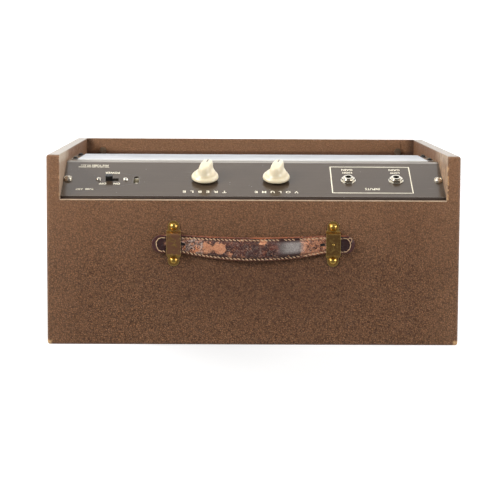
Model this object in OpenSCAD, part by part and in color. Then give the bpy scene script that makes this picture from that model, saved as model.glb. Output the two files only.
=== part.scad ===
// Combo tube amplifier: plywood cabinet in vinyl, sloped control panel at the
// top of the open back, chassis hanging behind it, one loudspeaker in front.
// Frame: +Z up, front (grille) towards -Y, open back towards +Y, origin at the
// centre of the footprint on the floor. Left is -X and right is +X.
// Name endings: _w width, _hw half width, _h height, _d depth, _l length,
// _t thickness, _r radius, and _x, _y or _z a place along that axis.

/* [Cabinet] */
// Outside width of the cabinet
cab_w = 432; // [428:1:440]
// Outside height of the cabinet, without feet
cab_h = 362; // [356:1:372]
// Outside depth of the cabinet
cab_d = 200; // [198:1:210]
// Thickness of the plywood boards
ply_t = 12.7; // [12.3:0.1:13]
// Thickness of the vinyl covering
skin_t = 0.75; // [0.6:0.05:0.9]
// Depth of the top board, front edge to rear edge
top_d = 153.3; // [150:0.1:154.5]
// Radius of the outside edges
corner_r = 4; // [2:0.5:6]
// Depth of the recess in front of the grille
recess = 12; // [10:0.5:14]
// Height of the rubber feet
foot_h = 12; // [10:0.5:16]
// Radius of the rubber feet
foot_r = 12; // [10.5:0.5:13]

/* [Control panel] */
// Distance down the slope to the lower edge of the panel
panel_l = 86; // [84:0.5:87]
// Thickness of the panel sheet
panel_t = 1.5; // [1.2:0.1:1.6]
// Slope of the panel away from vertical, degrees
panel_tilt = 22.8; // [22:0.1:23.5]
// Distance down the slope to the row of controls
row_s = 41.5; // [39:0.5:44]
// X of the volume knob
vol_x = 24.4; // [20:0.1:30]
// X of the tone knob
tone_x = -51.3; // [-56:0.1:-46]
// X of the inner input jack
jack_a_x = 101.1; // [96:0.1:104]
// X of the outer input jack
jack_b_x = 152; // [148:0.1:156]
// X of the slide switch
switch_x = -150; // [-154:0.5:-148]
// X of the pilot lamp window
lamp_x = -124.3; // [-126:0.1:-120]
// Radius of the knob skirt
knob_r = 14.6; // [12:0.1:16]
// Reach of the knob pointer from the axis
knob_reach = 18.4; // [17:0.1:24]
// Angle of the resting pointer from straight down the slope
knob_rest = 12; // [0:1:30]

/* [Handle] */
// Length of the leather strap
strap_l = 212; // [204:1:220]
// Width of the grip
grip_w = 24.6; // [22:0.1:28]
// Width of the strap inside the loops
strap_w = 19; // [16:0.5:19]
// Thickness of the strap
strap_t = 3.6; // [3:0.1:4]
// Height of the padded grip above the cabinet
grip_h = 9.5; // [8:0.1:12]
// Distance between the handle loops
loop_gap = 166.6; // [160:0.2:172]
// Spacing of the two screws in a loop
loop_pitch = 35.5; // [35:0.5:37]

/* [Loudspeaker] */
// Radius of the speaker frame
spk_r = 127; // [122:1:130]
// Height of the speaker axis above the floor
spk_z = 184; // [180:1:190]
// Radius of the magnet
mag_r = 42; // [36:1:46]

/* [Tubes] */
// Radius of the octal tube base
base_r = 16.5; // [15:0.1:17]
// Radius of the power tube glass
glass_r = 15; // [14:0.1:16]
// Length of the power tube glass below the base
glass_l = 62; // [50:1:75]
// Length of a preamp tube
preamp_l = 48; // [42:1:54]

/* [Hidden] */
$fn = 48;
gap = 0.05;                        // clearance between neighbouring pieces

// Cabinet
wall = ply_t + 2 * skin_t;         // board covered on both faces
front_y = -cab_d / 2;
back_y = cab_d / 2;
bottom_z = foot_h;
top_z = foot_h + cab_h;
inner_hw = cab_w / 2 - wall;       // inside, on the covering
wood_hw = inner_hw + skin_t;       // inside, on bare wood
floor_z = bottom_z + wall;         // inside floor
ceiling_z = top_z - wall;          // inside ceiling

// Control panel, measured from its upper edge
panel_top_y = back_y - 45.1;
panel_top_z = top_z - 2;
panel_screw_x = inner_hw - 5;
bush_r = 4.75;                     // threaded bush of a pot or jack
bush_hole_r = 4.85;
pot_xs = [vol_x, tone_x];
jack_xs = [jack_a_x, jack_b_x];

// Back plate and chassis
plate_y = back_y - 10;             // outer face of the back plate
plate_t = 1.3;
plate_front_y = plate_y - plate_t;
plate_top_z = top_z - 83;
plate_bottom_z = top_z - 190;
plate_hw = inner_hw - 11.3;
plate_screw_x = inner_hw - 8.6;
plate_screw_zs = [top_z - 92, top_z - 160];
cleat_w = 19;
pan_y = back_y - 76;               // front wall of the chassis pan
pan_z = top_z - 189.5;             // underside of the chassis pan
pan_hw = inner_hw - cleat_w - 0.4;
pan_t = 1.2;

// Baffle
baffle_t = 12.7;
baffle_y = front_y + recess + 1;   // front face
baffle_back_y = baffle_y + baffle_t;

// Handle and feet
loop_x = loop_gap / 2;
loop_y = back_y - 92.5;
loop_t = 1.2;                      // sheet of the handle loops
foot_x = cab_w / 2 - 34;
foot_ys = [front_y + 32, back_y - 14.6];

// Parts hanging below the chassis
hung_y = back_y - 44;              // the line they stand on
octal_xs = [-46, -4, 38];          // rectifier, then the two power tubes
preamp_xs = [72, 98];
mains_x = -143;
output_x = 150;
capacitor_x = -84;
seat_z = pan_z - 5.5;              // seating face of the tubes
octal_base_h = 20;
glass_top_z = seat_z - octal_base_h - gap;

// Wires
wire_x = 9;
wire_rise = 78;                    // speaker wires above the speaker axis
terminal_back = 34;                // rear end of the speaker terminals, behind the baffle
cord_x = 115.5;
cord_y = back_y - 26;              // where the cord enters the chassis
cord_r = 3.2;

// ---------- places ----------

// Panel frame: x across, y down the slope, z out of the panel face.
module on_panel() {
  translate([0, panel_top_y, panel_top_z]) rotate([panel_tilt - 90, 0, 0]) children();
}

// Panel frame moved to a place on the row of controls.
module on_row(x) on_panel() translate([x, row_s, 0]) children();

// [y, z] in the cabinet of a point down the slope and out of the panel face.
function slope_point(down, out) = [
  panel_top_y + down * sin(panel_tilt) + out * cos(panel_tilt),
  panel_top_z - down * cos(panel_tilt) + out * sin(panel_tilt)];

// Speaker frame: z runs back from the rear face of the baffle, y runs down.
module on_speaker() translate([0, baffle_back_y, spk_z]) rotate([-90, 0, 0]) children();

// A place on the underside of the chassis.
module under_pan(x) translate([x, hung_y, pan_z]) children();

module at_feet() for (side = [-1, 1], y = foot_ys) translate([side * foot_x, y, 0]) children();

module at_handle_screws(z) for (side = [-1, 1], end = [-1, 1])
  translate([side * loop_x, loop_y + end * loop_pitch / 2, z]) children();

module at_panel_screws() for (side = [-1, 1]) on_row(side * panel_screw_x) children();

module at_switch_screws() for (side = [-1, 1]) on_row(switch_x + side * 14.25) children();

// z runs back from the outer face of the back plate.
module at_plate_screws(sides = [-1, 1]) for (side = sides, z = plate_screw_zs)
  translate([side * plate_screw_x, plate_y, z]) rotate([-90, 0, 0]) children();

// Screw circle within the speaker frame.
module at_speaker_screws() for (a = [45:90:315]) rotate(a) translate([spk_r - 6, 0, 0]) children();

module at_speaker_wires() on_speaker() for (side = [-1, 1])
  translate([side * wire_x, -wire_rise, 0]) children();

// Pin circle of an octal tube.
module at_octal_pins() for (a = [0:45:315]) rotate(a) translate([8.7, 0, 0]) children();

// ---------- shapes ----------

// Rounded rectangle, centred.
module rounded_rect(width, height, radius) {
  square([width - 2 * radius, height], center = true);
  square([width, height - 2 * radius], center = true);
  for (sx = [-1, 1], sy = [-1, 1])
    translate([sx * (width / 2 - radius), sy * (height / 2 - radius)]) circle(radius);
}

// Block between two corner points.
module block(low, high) translate(low) cube(high - low);

// Bar of a YZ outline, from x0 to x1.
module yz_bar(x0, x1) translate([x0, 0, 0]) rotate([90, 0, 90]) linear_extrude(x1 - x0) children();

// Round pin, or the cutter of a hole, along Z.
module pin(radius, z0, z1, sides = 32) {
  translate([0, 0, z0]) cylinder(r = radius, h = z1 - z0, $fn = sides);
}

module ring(outer_r, hole_r, z0, z1, sides = 32, hole_sides = 32) difference() {
  pin(outer_r, z0, z1, sides);
  pin(hole_r, z0 - 1, z1 + 1, hole_sides);
}

// Low domed screw head: a flat disc with a cap of a sphere.
module dome_head(radius, height) {
  sphere_r = (radius * radius + height * height) / (2 * height);
  intersection() {
    translate([0, 0, height - sphere_r]) sphere(sphere_r, $fn = 64);
    cylinder(r = radius, h = height + 1);
  }
}

module slotted_head(radius, height, slot_depth) difference() {
  dome_head(radius, height);
  block([-4, -0.4, height - slot_depth], [4, 0.4, height + 1]);
}

// ---------- cabinet ----------

// Box of the cabinet, every outside edge rounded, drawn in from the outside by inset.
module outline(inset) {
  width = cab_w - 2 * inset;
  depth = cab_d - 2 * inset;
  height = cab_h - 2 * inset;
  radius = corner_r - inset;
  translate([0, 0, (bottom_z + top_z) / 2]) intersection() {
    rotate([90, 0, 0]) linear_extrude(depth, center = true) rounded_rect(width, height, radius);
    linear_extrude(height, center = true) rounded_rect(width, depth, radius);
    rotate([90, 0, 90]) linear_extrude(width, center = true) rounded_rect(depth, height, radius);
  }
}

// Square blanks of the boards, before the outside edges are rounded.
module top_blank()
  block([-wood_hw, front_y, ceiling_z + skin_t], [wood_hw, front_y + top_d - skin_t, top_z]);

module bottom_blank()
  block([-wood_hw, front_y, bottom_z], [wood_hw, back_y, floor_z - skin_t]);

module side_blank() block([wood_hw, front_y, bottom_z], [cab_w / 2, back_y, top_z]);

module handle_holes(radius) at_handle_screws(top_z - 12.2) cylinder(r = radius, h = 16);

module foot_holes(radius) at_feet() pin(radius, bottom_z - 1, floor_z + 1, 48);

module rounded_board() intersection() {
  outline(skin_t);
  children();
}

module cabinet_top() color("#c9a878") difference() {
  rounded_board() top_blank();
  handle_holes(1.95);
}

module cabinet_bottom() color("#c9a878") difference() {
  rounded_board() bottom_blank();
  foot_holes(2.6);
}

module cabinet_side_right() color("#c9a878") rounded_board() side_blank();
module cabinet_side_left() color("#c9a878") mirror([1, 0, 0]) rounded_board() side_blank();

module vinyl_covering() color("#7a5a45") difference() {
  outline(0);
  // hollow of the cabinet on the covering
  block([-inner_hw, front_y - 1, floor_z], [inner_hw, back_y + 1, ceiling_z]);
  // open top behind the top board
  block([-inner_hw, front_y + top_d, floor_z], [inner_hw, back_y + 1, top_z + 1]);
  // bare wood in the middle of the inside
  block([-wood_hw, baffle_y + 6, floor_z - skin_t], [wood_hw, back_y - 60, ceiling_z + skin_t]);
  // the four boards
  intersection() {
    outline(skin_t);
    union() {
      side_blank();
      mirror([1, 0, 0]) side_blank();
      bottom_blank();
      top_blank();
    }
  }
  handle_holes(2.05);
  foot_holes(2.8);
}

module speaker_baffle() color("#a98a5c") difference() {
  block([-inner_hw + 0.5, baffle_y, floor_z + 0.5],
    [inner_hw - 0.5, baffle_back_y, ceiling_z - 0.5]);
  on_speaker() pin(spk_r - 12, -baffle_t - 1, 1, 96);
  // pilot holes of the speaker screws
  on_speaker() at_speaker_screws() pin(1.85, -10.2, 1);
}

// Right cleat: carries the panel along the slope and the back plate below it.
module chassis_cleat() {
  upper_s = 17;
  difference() {
    yz_bar(inner_hw - cleat_w, inner_hw) polygon([
      slope_point(upper_s, -panel_t),
      slope_point(panel_l - 3.2, -panel_t),
      slope_point(panel_l - 3.2, -7.8),
      slope_point(panel_l, -7.8),
      [plate_front_y, slope_point(panel_l, -7.8)[1] - 1],
      [plate_front_y, pan_z - 2],
      [plate_front_y - 18, pan_z - 2],
      [plate_front_y - 18, slope_point(panel_l, -20)[1]],
      slope_point(panel_l - 2, -19.5),
      slope_point(upper_s, -19.5)]);
    on_row(panel_screw_x) pin(1.75, -17, 1);
    at_plate_screws([1]) pin(1.65, -16, 1, 48);
  }
}

// Chassis cleats, and the upright cleats behind the baffle.
module cabinet_cleats() color("#b08f60") {
  upright_w = 18;
  for (flip = [0, 1]) mirror([flip, 0, 0]) {
    chassis_cleat();
    block([wood_hw - upright_w, baffle_back_y, floor_z + 10],
      [wood_hw, baffle_back_y + upright_w, ceiling_z]);
  }
}

cloth_y = baffle_y - 0.9;          // front face of the grille cloth

module grille_cloth() color("#8d7a5e")
  block([-inner_hw + 0.6, cloth_y, floor_z + 0.6],
    [inner_hw - 0.6, baffle_y - 0.1, ceiling_z - 0.6]);

// Round piping along the four edges of the cloth.
module grille_piping() color("#d8c9a4") {
  radius = 2.2;
  edge = radius + 0.3;
  x = inner_hw - edge;
  y = cloth_y - radius;
  z0 = floor_z + edge;
  z1 = ceiling_z - edge;
  for (z = [z0, z1]) translate([-x, y, z]) rotate([0, 90, 0]) pin(radius, 0, 2 * x, 24);
  for (side = [-1, 1]) {
    translate([side * x, y, 0]) pin(radius, z0, z1, 24);
    for (z = [z0, z1]) translate([side * x, y, z]) sphere(radius, $fn = 24);
  }
}

// ---------- feet ----------

module rubber_feet() color("#1d1c1b") {
  rim_h = 1.5;                     // straight band above the taper
  at_feet() difference() {
    union() {
      cylinder(r1 = foot_r - 1.6, r2 = foot_r, h = foot_h - rim_h);
      translate([0, 0, foot_h - rim_h]) cylinder(r = foot_r, h = rim_h);
    }
    pin(5.6, -1, 5);
    pin(2.6, 0, foot_h + 1);
  }
}

// Head in the foot, shank through the bottom board, hexagon nut inside.
module foot_bolts() color("#a9a8a3") at_feet() {
  pin(4.8, 2.6, 5);
  pin(2.4, 4.9, floor_z + 5.2);
  ring(4.6, 2.5, floor_z + 0.1, floor_z + 3.6, 6);
}

// ---------- handle ----------

strap_steps = 26;                  // steps of the strap outline in each half
strap_round = 0.91;                // part of the half length where the rounded end starts

// Swell of the grip: 1 in the middle, 0 towards the loops.
function belly(x) = max(0, 1 - pow(x / (loop_x - 5.3), 2));

// Half width of the strap.
function strap_half(x) = let (
    reach = abs(x) / (strap_l / 2),
    along_end = (reach - strap_round) / (1 - strap_round))
  reach > strap_round
    ? strap_w / 2 * sqrt(max(0, 1 - pow(along_end, 2)) * 0.9 + 0.02)
    : strap_w / 2 + (grip_w - strap_w) / 2 * belly(x);

// Y of the strap centre line, bowed towards the front.
function strap_bow(x) = loop_y - 0.7 - 4.9 * belly(x);

module strap_plan(half_l, inset) polygon(concat(
  [for (i = [-strap_steps:strap_steps]) let (x = i * half_l / strap_steps)
    [x, strap_bow(x) - strap_half(x) + inset]],
  [for (i = [strap_steps:-1:-strap_steps]) let (x = i * half_l / strap_steps)
    [x, strap_bow(x) + strap_half(x) - inset]]));

// Strap with two stepped layers of padding.
module leather_handle() color("#5a3a30") {
  pad_h = grip_h - strap_t;
  pad_z = top_z + strap_t;
  translate([0, 0, top_z + 0.1]) linear_extrude(strap_t) strap_plan(strap_l / 2, 0);
  translate([0, 0, pad_z]) linear_extrude(pad_h * 0.6) strap_plan(loop_x - 16, 1);
  translate([0, 0, pad_z + pad_h * 0.6 - 0.1])
    linear_extrude(pad_h * 0.4 + 0.1) strap_plan(loop_x - 24, 4);
}

// Brass loop: two flat ears and a raised bridge, one bent strip.
module handle_loop() {
  half_w = 7.5;
  half_l = 24;
  span = 12;                       // half the opening under the bridge
  rise = 8.8;
  ear_r = 5.9;
  ear_y = half_l - ear_r;
  bridge_y = span + loop_t + 0.2;
  translate([0, loop_y, top_z]) difference() {
    intersection() {
      yz_bar(-half_w, half_w) polygon([
        [-half_l, 0], [-span, 0], [-span + 1.2, rise], [span - 1.2, rise], [span, 0],
        [half_l, 0], [half_l, loop_t], [span + loop_t, loop_t], [span - 0.2, rise + loop_t],
        [-span + 0.2, rise + loop_t], [-span - loop_t, loop_t], [-half_l, loop_t]]);
      union() {
        block([-half_w, -bridge_y, -1], [half_w, bridge_y, 20]);
        block([-ear_r, -ear_y, -1], [ear_r, ear_y, 20]);
        for (end = [-1, 1]) translate([0, end * ear_y, -1]) cylinder(r = ear_r, h = 20);
      }
    }
    for (end = [-1, 1]) translate([0, end * loop_pitch / 2, -1]) cylinder(r = 2.1, h = 4);
  }
}

module handle_loop_left() color("#a67c3d") translate([-loop_x, 0, 0]) handle_loop();
module handle_loop_right() color("#a67c3d") translate([loop_x, 0, 0]) handle_loop();

module handle_screws() color("#b58a48") at_handle_screws(top_z + loop_t) {
  dome_head(4.35, 3.1);
  pin(1.85, -12.5, 0.1);
}

// ---------- control panel ----------

// Slot with round ends, long down the slope.
module round_slot(length, width) {
  square([width, length - width], center = true);
  for (end = [-1, 1]) translate([0, end * (length - width) / 2]) circle(width / 2);
}

// Flat sheet with its lower edge bent inwards.
module panel_sheet() {
  upper_s = 4;
  bend_r = 2.5;
  lip = 7;
  yz_bar(-inner_hw + 0.4, inner_hw - 0.4) {
    translate([upper_s, -panel_t]) square([panel_l - bend_r - upper_s, panel_t]);
    translate([panel_l - bend_r, -bend_r]) difference() {
      intersection() {
        circle(bend_r);
        square([bend_r, bend_r]);
      }
      circle(bend_r - panel_t);
    }
    translate([panel_l - panel_t, -lip]) square([panel_t, lip - bend_r]);
  }
}

module control_panel() color("#7b7167") difference() {
  on_panel() panel_sheet();
  for (x = concat(pot_xs, jack_xs)) on_row(x) pin(bush_hole_r, -3, 1);
  at_panel_screws() pin(1.85, -3, 1);
  at_switch_screws() pin(1.7, -3, 1);
  on_row(switch_x) block([-7, -3.2, -3], [7, 3.2, 1]);
  on_row(lamp_x) translate([0, 0, -3]) linear_extrude(4) round_slot(17, 5.9);
}

module panel_screws() color("#c8c3b6") at_panel_screws() {
  translate([0, 0, 1.45]) slotted_head(3.4, 2.7, 0.75);
  pin(1.65, -16, 1.6);
}

// Profile: [radius, height above the panel].
module cup_washers() color("#cfcabd") at_panel_screws() rotate_extrude() polygon([
  [1.9, 0], [4.7, 0], [4.7, 0.5], [4.1, 2.6], [3.6, 2.6], [3.6, 1.4], [1.9, 1.4]]);

// ---------- chassis ----------

pan_upper_s = 18.5;                // where the pan starts down the slope
pan_upper_z = slope_point(pan_upper_s, -panel_t)[1];

module pan_outside() yz_bar(-pan_hw, pan_hw) polygon([
  [pan_y, pan_z],
  [plate_front_y - 0.1, pan_z],
  [plate_front_y - 0.1, slope_point(panel_l, -8)[1] - 1.2],
  slope_point(panel_l, -8),
  slope_point(panel_l - 3.4, -8),
  slope_point(panel_l - 3.4, -panel_t - 0.3),
  slope_point(pan_upper_s, -panel_t - 0.3),
  [pan_y, pan_upper_z]]);

// Runs past the outside at the back and along the slope, leaving the pan open there.
module pan_hollow() yz_bar(-pan_hw + pan_t, pan_hw - pan_t) polygon([
  [pan_y + pan_t, pan_z + pan_t],
  [plate_front_y + 5, pan_z + pan_t],
  [plate_front_y + 5, slope_point(panel_l, 0)[1] - 4],
  slope_point(panel_l, 4),
  slope_point(pan_upper_s, 4),
  [pan_y + pan_t, pan_upper_z - pan_t]]);

module chassis_pan() color("#b9babb") difference() {
  pan_outside();
  pan_hollow();
  for (x = octal_xs) under_pan(x) pin(14.6, -1, 3);
  for (x = preamp_xs) under_pan(x) pin(9.2, -1, 3);
  translate([cord_x, cord_y, pan_z]) pin(3.6, -1, 3);
  under_pan(mains_x) block([-20, -18, -1], [20, 18, 3]);
  under_pan(capacitor_x) pin(12.2, -1, 3);
  at_speaker_wires() pin(2, pan_y - baffle_back_y - 1, pan_y - baffle_back_y + 3);
}

// Plate with a lug at each of its four screws.
module back_plate() color("#d5d7d9") {
  lug_r = 4.2;
  lug_l = 6;
  difference() {
    union() {
      block([-plate_hw, plate_front_y, plate_bottom_z], [plate_hw, plate_y, plate_top_z]);
      at_plate_screws() pin(lug_r, -plate_t, 0, 48);
      for (side = [-1, 1], z = plate_screw_zs)
        translate([side * (plate_screw_x - lug_l / 2), plate_y - plate_t / 2, z])
          cube([lug_l, plate_t, 2 * lug_r], center = true);
    }
    at_plate_screws() pin(1.75, -3, 1, 48);
  }
}

module back_plate_screws() color("#2b2a29") at_plate_screws() {
  slotted_head(3.1, 2.6, 0.7);
  pin(1.55, -14, 0.1);
}

// ---------- knobs and potentiometers ----------

shaft_r = 3.175;
pot_depth = 11.5;

// Round skirt and domed middle: [radius, height above the panel].
module knob_skirt() rotate_extrude() polygon([
  [0, 3], [knob_r - 0.7, 3], [knob_r, 3.5], [knob_r, 6.3], [knob_r - 0.6, 7],
  [knob_r - 3.2, 8.2], [9, 9.8], [7.4, 12.4], [6.6, 17.4], [0, 18.4]]);

// Pointer along +y: its plan, cut to its side view.
module knob_pointer() {
  shoulder = knob_reach - 0.8;
  past_tip = knob_reach + 1;
  intersection() {
    linear_extrude(30) polygon([
      [-7.2, -2], [7.2, -2], [6.6, 6], [5.2, knob_reach - 5], [4, shoulder],
      [2.6, knob_reach], [-2.6, knob_reach], [-4, shoulder], [-5.2, knob_reach - 5], [-6.6, 6]]);
    yz_bar(-9, 9) polygon([
      [-3, 4.5], [9, 4.5], [past_tip, 9.6], [past_tip, 14.2], [4, 18.2], [-3, 18.2]]);
  }
}

// The wide recess clears the nut, the narrow one takes the shaft.
module knob_at(x) on_row(x) rotate(-knob_rest) difference() {
  union() {
    knob_skirt();
    knob_pointer();
  }
  pin(8.4, 2, 5.8);
  pin(3.21, 5, 16.6);
}

module volume_knob() color("#efe5cb") knob_at(vol_x);
module tone_knob() color("#efe5cb") knob_at(tone_x);

// Round can, bush through the panel and three flat tags.
module pot_at(x) on_row(x) difference() {
  union() {
    pin(12, -panel_t - pot_depth, -panel_t);
    pin(bush_r, -panel_t - 1, 5.2);
    for (i = [-1:1]) block([i * 5 - 1.2, 10, -panel_t - 4], [i * 5 + 1.2, 18, -panel_t - 3]);
  }
  pin(shaft_r + gap, -panel_t - 9.6, 6);
}

module volume_pot() color("#b8b3a6") pot_at(vol_x);
module tone_pot() color("#b8b3a6") pot_at(tone_x);

module shaft_at(x) on_row(x) pin(shaft_r, -panel_t - 9.4, 16.4);
module volume_shaft() color("#c9c9c6") shaft_at(vol_x);
module tone_shaft() color("#c9c9c6") shaft_at(tone_x);

module pot_nuts() color("#c2beb2") for (x = pot_xs) on_row(x)
  ring(7.2, bush_hole_r, gap, 2.5, 6);

// ---------- jacks ----------

// Collar, bush through the panel, side block and a long tag; bored along its axis.
module jack_at(x) on_row(x) difference() {
  union() {
    pin(8, -panel_t - 2.6, -panel_t);
    pin(bush_r, -panel_t - 1, 4.8);
    block([5, -6, -panel_t - 12], [9.5, 6, -panel_t - 2]);
    block([7, -3, -panel_t - 30], [7.8, 3, -panel_t - 11]);
  }
  pin(3.25, -panel_t - 14, 6);
}

module input_jack_inner() color("#cdc9bd") jack_at(jack_a_x);
module input_jack_outer() color("#cdc9bd") jack_at(jack_b_x);

module jack_washers() color("#cfcabd") for (x = jack_xs) on_row(x)
  ring(8, bush_hole_r, 0.02, 0.8);

module jack_nuts() color("#cfcabd") for (x = jack_xs) on_row(x)
  ring(7.3, bush_hole_r, 0.85, 3.3, 6);

// ---------- switch and lamp ----------

// Flange, body and three tags, with a well for the slider.
module power_switch() color("#b9b4a6") difference() {
  on_row(switch_x) {
    block([-17.5, -6, -panel_t - 0.9], [17.5, 6, -panel_t - 0.02]);
    block([-11.5, -6, -panel_t - 12], [11.5, 6, -panel_t - 0.5]);
    for (i = [-1:1]) block([i * 7 - 1, -1, -panel_t - 17], [i * 7 + 1, 1, -panel_t - 11]);
  }
  on_row(switch_x) block([-7.3, -3.2, -panel_t - 7], [7.3, 3.2, 1]);
  at_switch_screws() pin(1.5, -5, 1);
}

// Black block, ribbed on top, resting at the -X end of the slot.
module switch_slider() color("#161514") on_row(switch_x) difference() {
  block([-6.8, -2.95, -panel_t - 6.8], [0.6, 2.95, 5.6]);
  for (i = [0:2]) block([-5.6 + i * 2, -4, 5], [-4.6 + i * 2, 4, 7]);
}

module switch_screws() color("#cfcabd") at_switch_screws() {
  translate([0, 0, 0.02]) slotted_head(3, 2.5, 0.72);
  pin(1.4, -6.5, 0.2);
}

module pilot_lamp() color("#f3ead0") on_row(lamp_x) {
  bulb_r = 4.6;
  pin(bulb_r, -18, -8.5);
  translate([0, 0, -8.5]) sphere(bulb_r);
  pin(4.4, -26, -17.9);
}

// Sleeve with a strap that hooks under the panel.
module lamp_holder() color("#b9b4a6") on_row(lamp_x) {
  difference() {
    pin(5.8, -28, -17);
    pin(4.65, -27, -16);
  }
  block([-4, 5.2, -28], [4, 6, -panel_t - 0.8]);
  block([-4, 5.2, -panel_t - 0.9], [4, 19, -panel_t - 0.02]);
}

// ---------- transformers and capacitor ----------

mains_core_h = 26;
output_core_h = 45;

module mains_transformer_core() color("#5c5a58") under_pan(mains_x) difference() {
  block([-38, -30, -mains_core_h], [38, 30, -gap]);
  block([-19, -16, -20], [19, 16, 1]);
}

// Side view of the cover: straight sides, bevelled lower corners.
function cover_outline(half) = [
  [-half, 0], [half, 0], [half, -20], [half - 8, -30], [8 - half, -30], [-half, -20]];

module mains_transformer_cover() color("#232221") {
  half_w = 37;
  half_d = 29;
  under_pan(mains_x) translate([0, 0, -mains_core_h - gap]) difference() {
    intersection() {
      yz_bar(-half_w, half_w) polygon(cover_outline(half_d));
      rotate([90, 0, 0]) translate([0, 0, -30]) linear_extrude(60)
        polygon(cover_outline(half_w));
    }
    block([3 - half_w, 3 - half_d, -18], [half_w - 3, half_d - 3, 1]);
  }
}

// Core with two windows, one each side of the middle leg.
module output_transformer_core() color("#5c5a58") under_pan(output_x) difference() {
  block([-27, -9, -output_core_h], [27, 9, -gap]);
  for (side = [-1, 1])
    translate([side * 13.5, 0, -output_core_h / 2]) cube([9, 30, 27], center = true);
}

module output_transformer_coil() color("#b79b5e")
  under_pan(output_x) translate([0, 0, -output_core_h / 2]) difference() {
    cube([35.6, 34, 26.6], center = true);
    cube([18.2, 18.2, 40], center = true);
  }

module filter_capacitor() color("#a9abad") under_pan(capacitor_x) {
  pin(17, -62, -1.6);
  pin(19, -1.6, -gap);
  pin(11.8, -0.2, 6);
}

// ---------- tubes ----------

module socket_body(body_r, flange_r) {
  pin(body_r, seat_z, pan_z + 6);
  pin(flange_r, seat_z + 2, pan_z - gap);
}

module tube_sockets() color("#3b2a20") {
  for (x = octal_xs) translate([x, hung_y, 0]) difference() {
    socket_body(14.4, 17.5);
    pin(4.1, seat_z - 1, pan_z + 7);
    at_octal_pins() pin(1.3, seat_z - 1, pan_z + 7, 16);
  }
  for (x = preamp_xs) translate([x, hung_y, 0]) difference() {
    socket_body(9, 12);
    pin(1.6, seat_z - 1, pan_z + 7);
  }
}

module octal_tube_bases() color("#2a1f19") for (x = octal_xs) translate([x, hung_y, seat_z]) {
  pin(base_r, -octal_base_h, -gap);
  pin(3.95, -0.1, 10);
  at_octal_pins() pin(1.18, -0.1, 10, 16);
}

// Glass envelope with a round end, hanging from z = 0, open at the top.
module envelope(radius, length) {
  glass_t = 1;
  end_z = radius - length;         // centre of the round end
  rotate_extrude($fn = 48) difference() {
    union() {
      translate([0, end_z]) square([radius, length - radius]);
      intersection() {
        translate([0, end_z]) circle(radius);
        translate([0, -length]) square([radius, radius]);
      }
    }
    translate([-1, end_z]) square([radius - glass_t + 1, length]);
    intersection() {
      translate([0, end_z]) circle(radius - glass_t);
      translate([-1, -length]) square([radius + 1, radius + 0.1]);
    }
  }
}

module power_tube_glass() color("#dfe6e4") for (x = [octal_xs[1], octal_xs[2]])
  translate([x, hung_y, glass_top_z]) envelope(glass_r, glass_l);

module rectifier_glass() color("#dfe6e4")
  translate([octal_xs[0], hung_y, glass_top_z]) envelope(glass_r, glass_l + 4);

module preamp_tube_glass() color("#dfe6e4") for (x = preamp_xs)
  translate([x, hung_y, seat_z - gap]) envelope(10.4, preamp_l);

// Flat box between two discs, on two rods. plate is its half [x, y];
// plate_z and disc_z are [lower, upper].
module electrodes(plate, plate_z, disc_r, disc_t, disc_z, disc_sides, rod_x, rod_r, rod_z) {
  block([-plate[0], -plate[1], plate_z[0]], [plate[0], plate[1], plate_z[1]]);
  for (z = disc_z) pin(disc_r, z, z + disc_t, disc_sides);
  for (side = [-1, 1]) translate([side * rod_x, 0, 0]) pin(rod_r, rod_z, -0.02, 16);
}

module tube_plates() color("#4a4b4d") {
  for (x = octal_xs) translate([x, hung_y, glass_top_z])
    electrodes(plate = [9, 6], plate_z = [-44, -10],
      disc_r = glass_r - 2.2, disc_t = 0.8, disc_z = [-46, -9], disc_sides = 40,
      rod_x = 6, rod_r = 0.7, rod_z = -45.8);
  for (x = preamp_xs) translate([x, hung_y, seat_z - 0.1])
    electrodes(plate = [5.5, 3.5], plate_z = [-32, -9],
      disc_r = 8.4, disc_t = 0.7, disc_z = [-33, -9], disc_sides = 32,
      rod_x = 4, rod_r = 0.5, rod_z = -32.9);
}

// ---------- board inside the chassis ----------

board_hw = 118;
board_off = 7;                     // front face of the board behind the pan's front wall
board_t = 2;
board_zs = [60, 118];              // lower and upper edge above the pan's underside

module component_board() color("#8c6a3c") {
  block([-board_hw, pan_y + board_off, pan_z + board_zs[0]],
    [board_hw, pan_y + board_off + board_t, pan_z + board_zs[1]]);
  for (side = [-1, 1], z = [70, 108])
    translate([side * 108, pan_y + pan_t + 0.02, pan_z + z])
      rotate([-90, 0, 0]) pin(3, 0, board_off - pan_t, 24);
}

// Upright cylinders in a row, each with a lead at both ends.
module board_components() color("#c98f3a") {
  sizes = [[5, 30], [2.4, 15], [3.8, 30]];   // [radius, length], in turn
  for (i = [0:13]) {
    radius = sizes[i % 3][0];
    half_l = sizes[i % 3][1] / 2;
    translate([-102 + i * 15.7, pan_y + board_off + board_t + gap + radius,
        pan_z + (board_zs[0] + board_zs[1]) / 2]) {
      pin(radius, -half_l, half_l);
      pin(0.5, half_l - 0.1, half_l + 6, 16);
      pin(0.5, -half_l - 6, -half_l + 0.1, 16);
    }
  }
}

// ---------- loudspeaker ----------
// Profiles are [radius, distance behind the baffle].

coil_r = 13.7;
neck_r = coil_r + gap;             // inner edge of the cone and spider
frame_back = 54;

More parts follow.
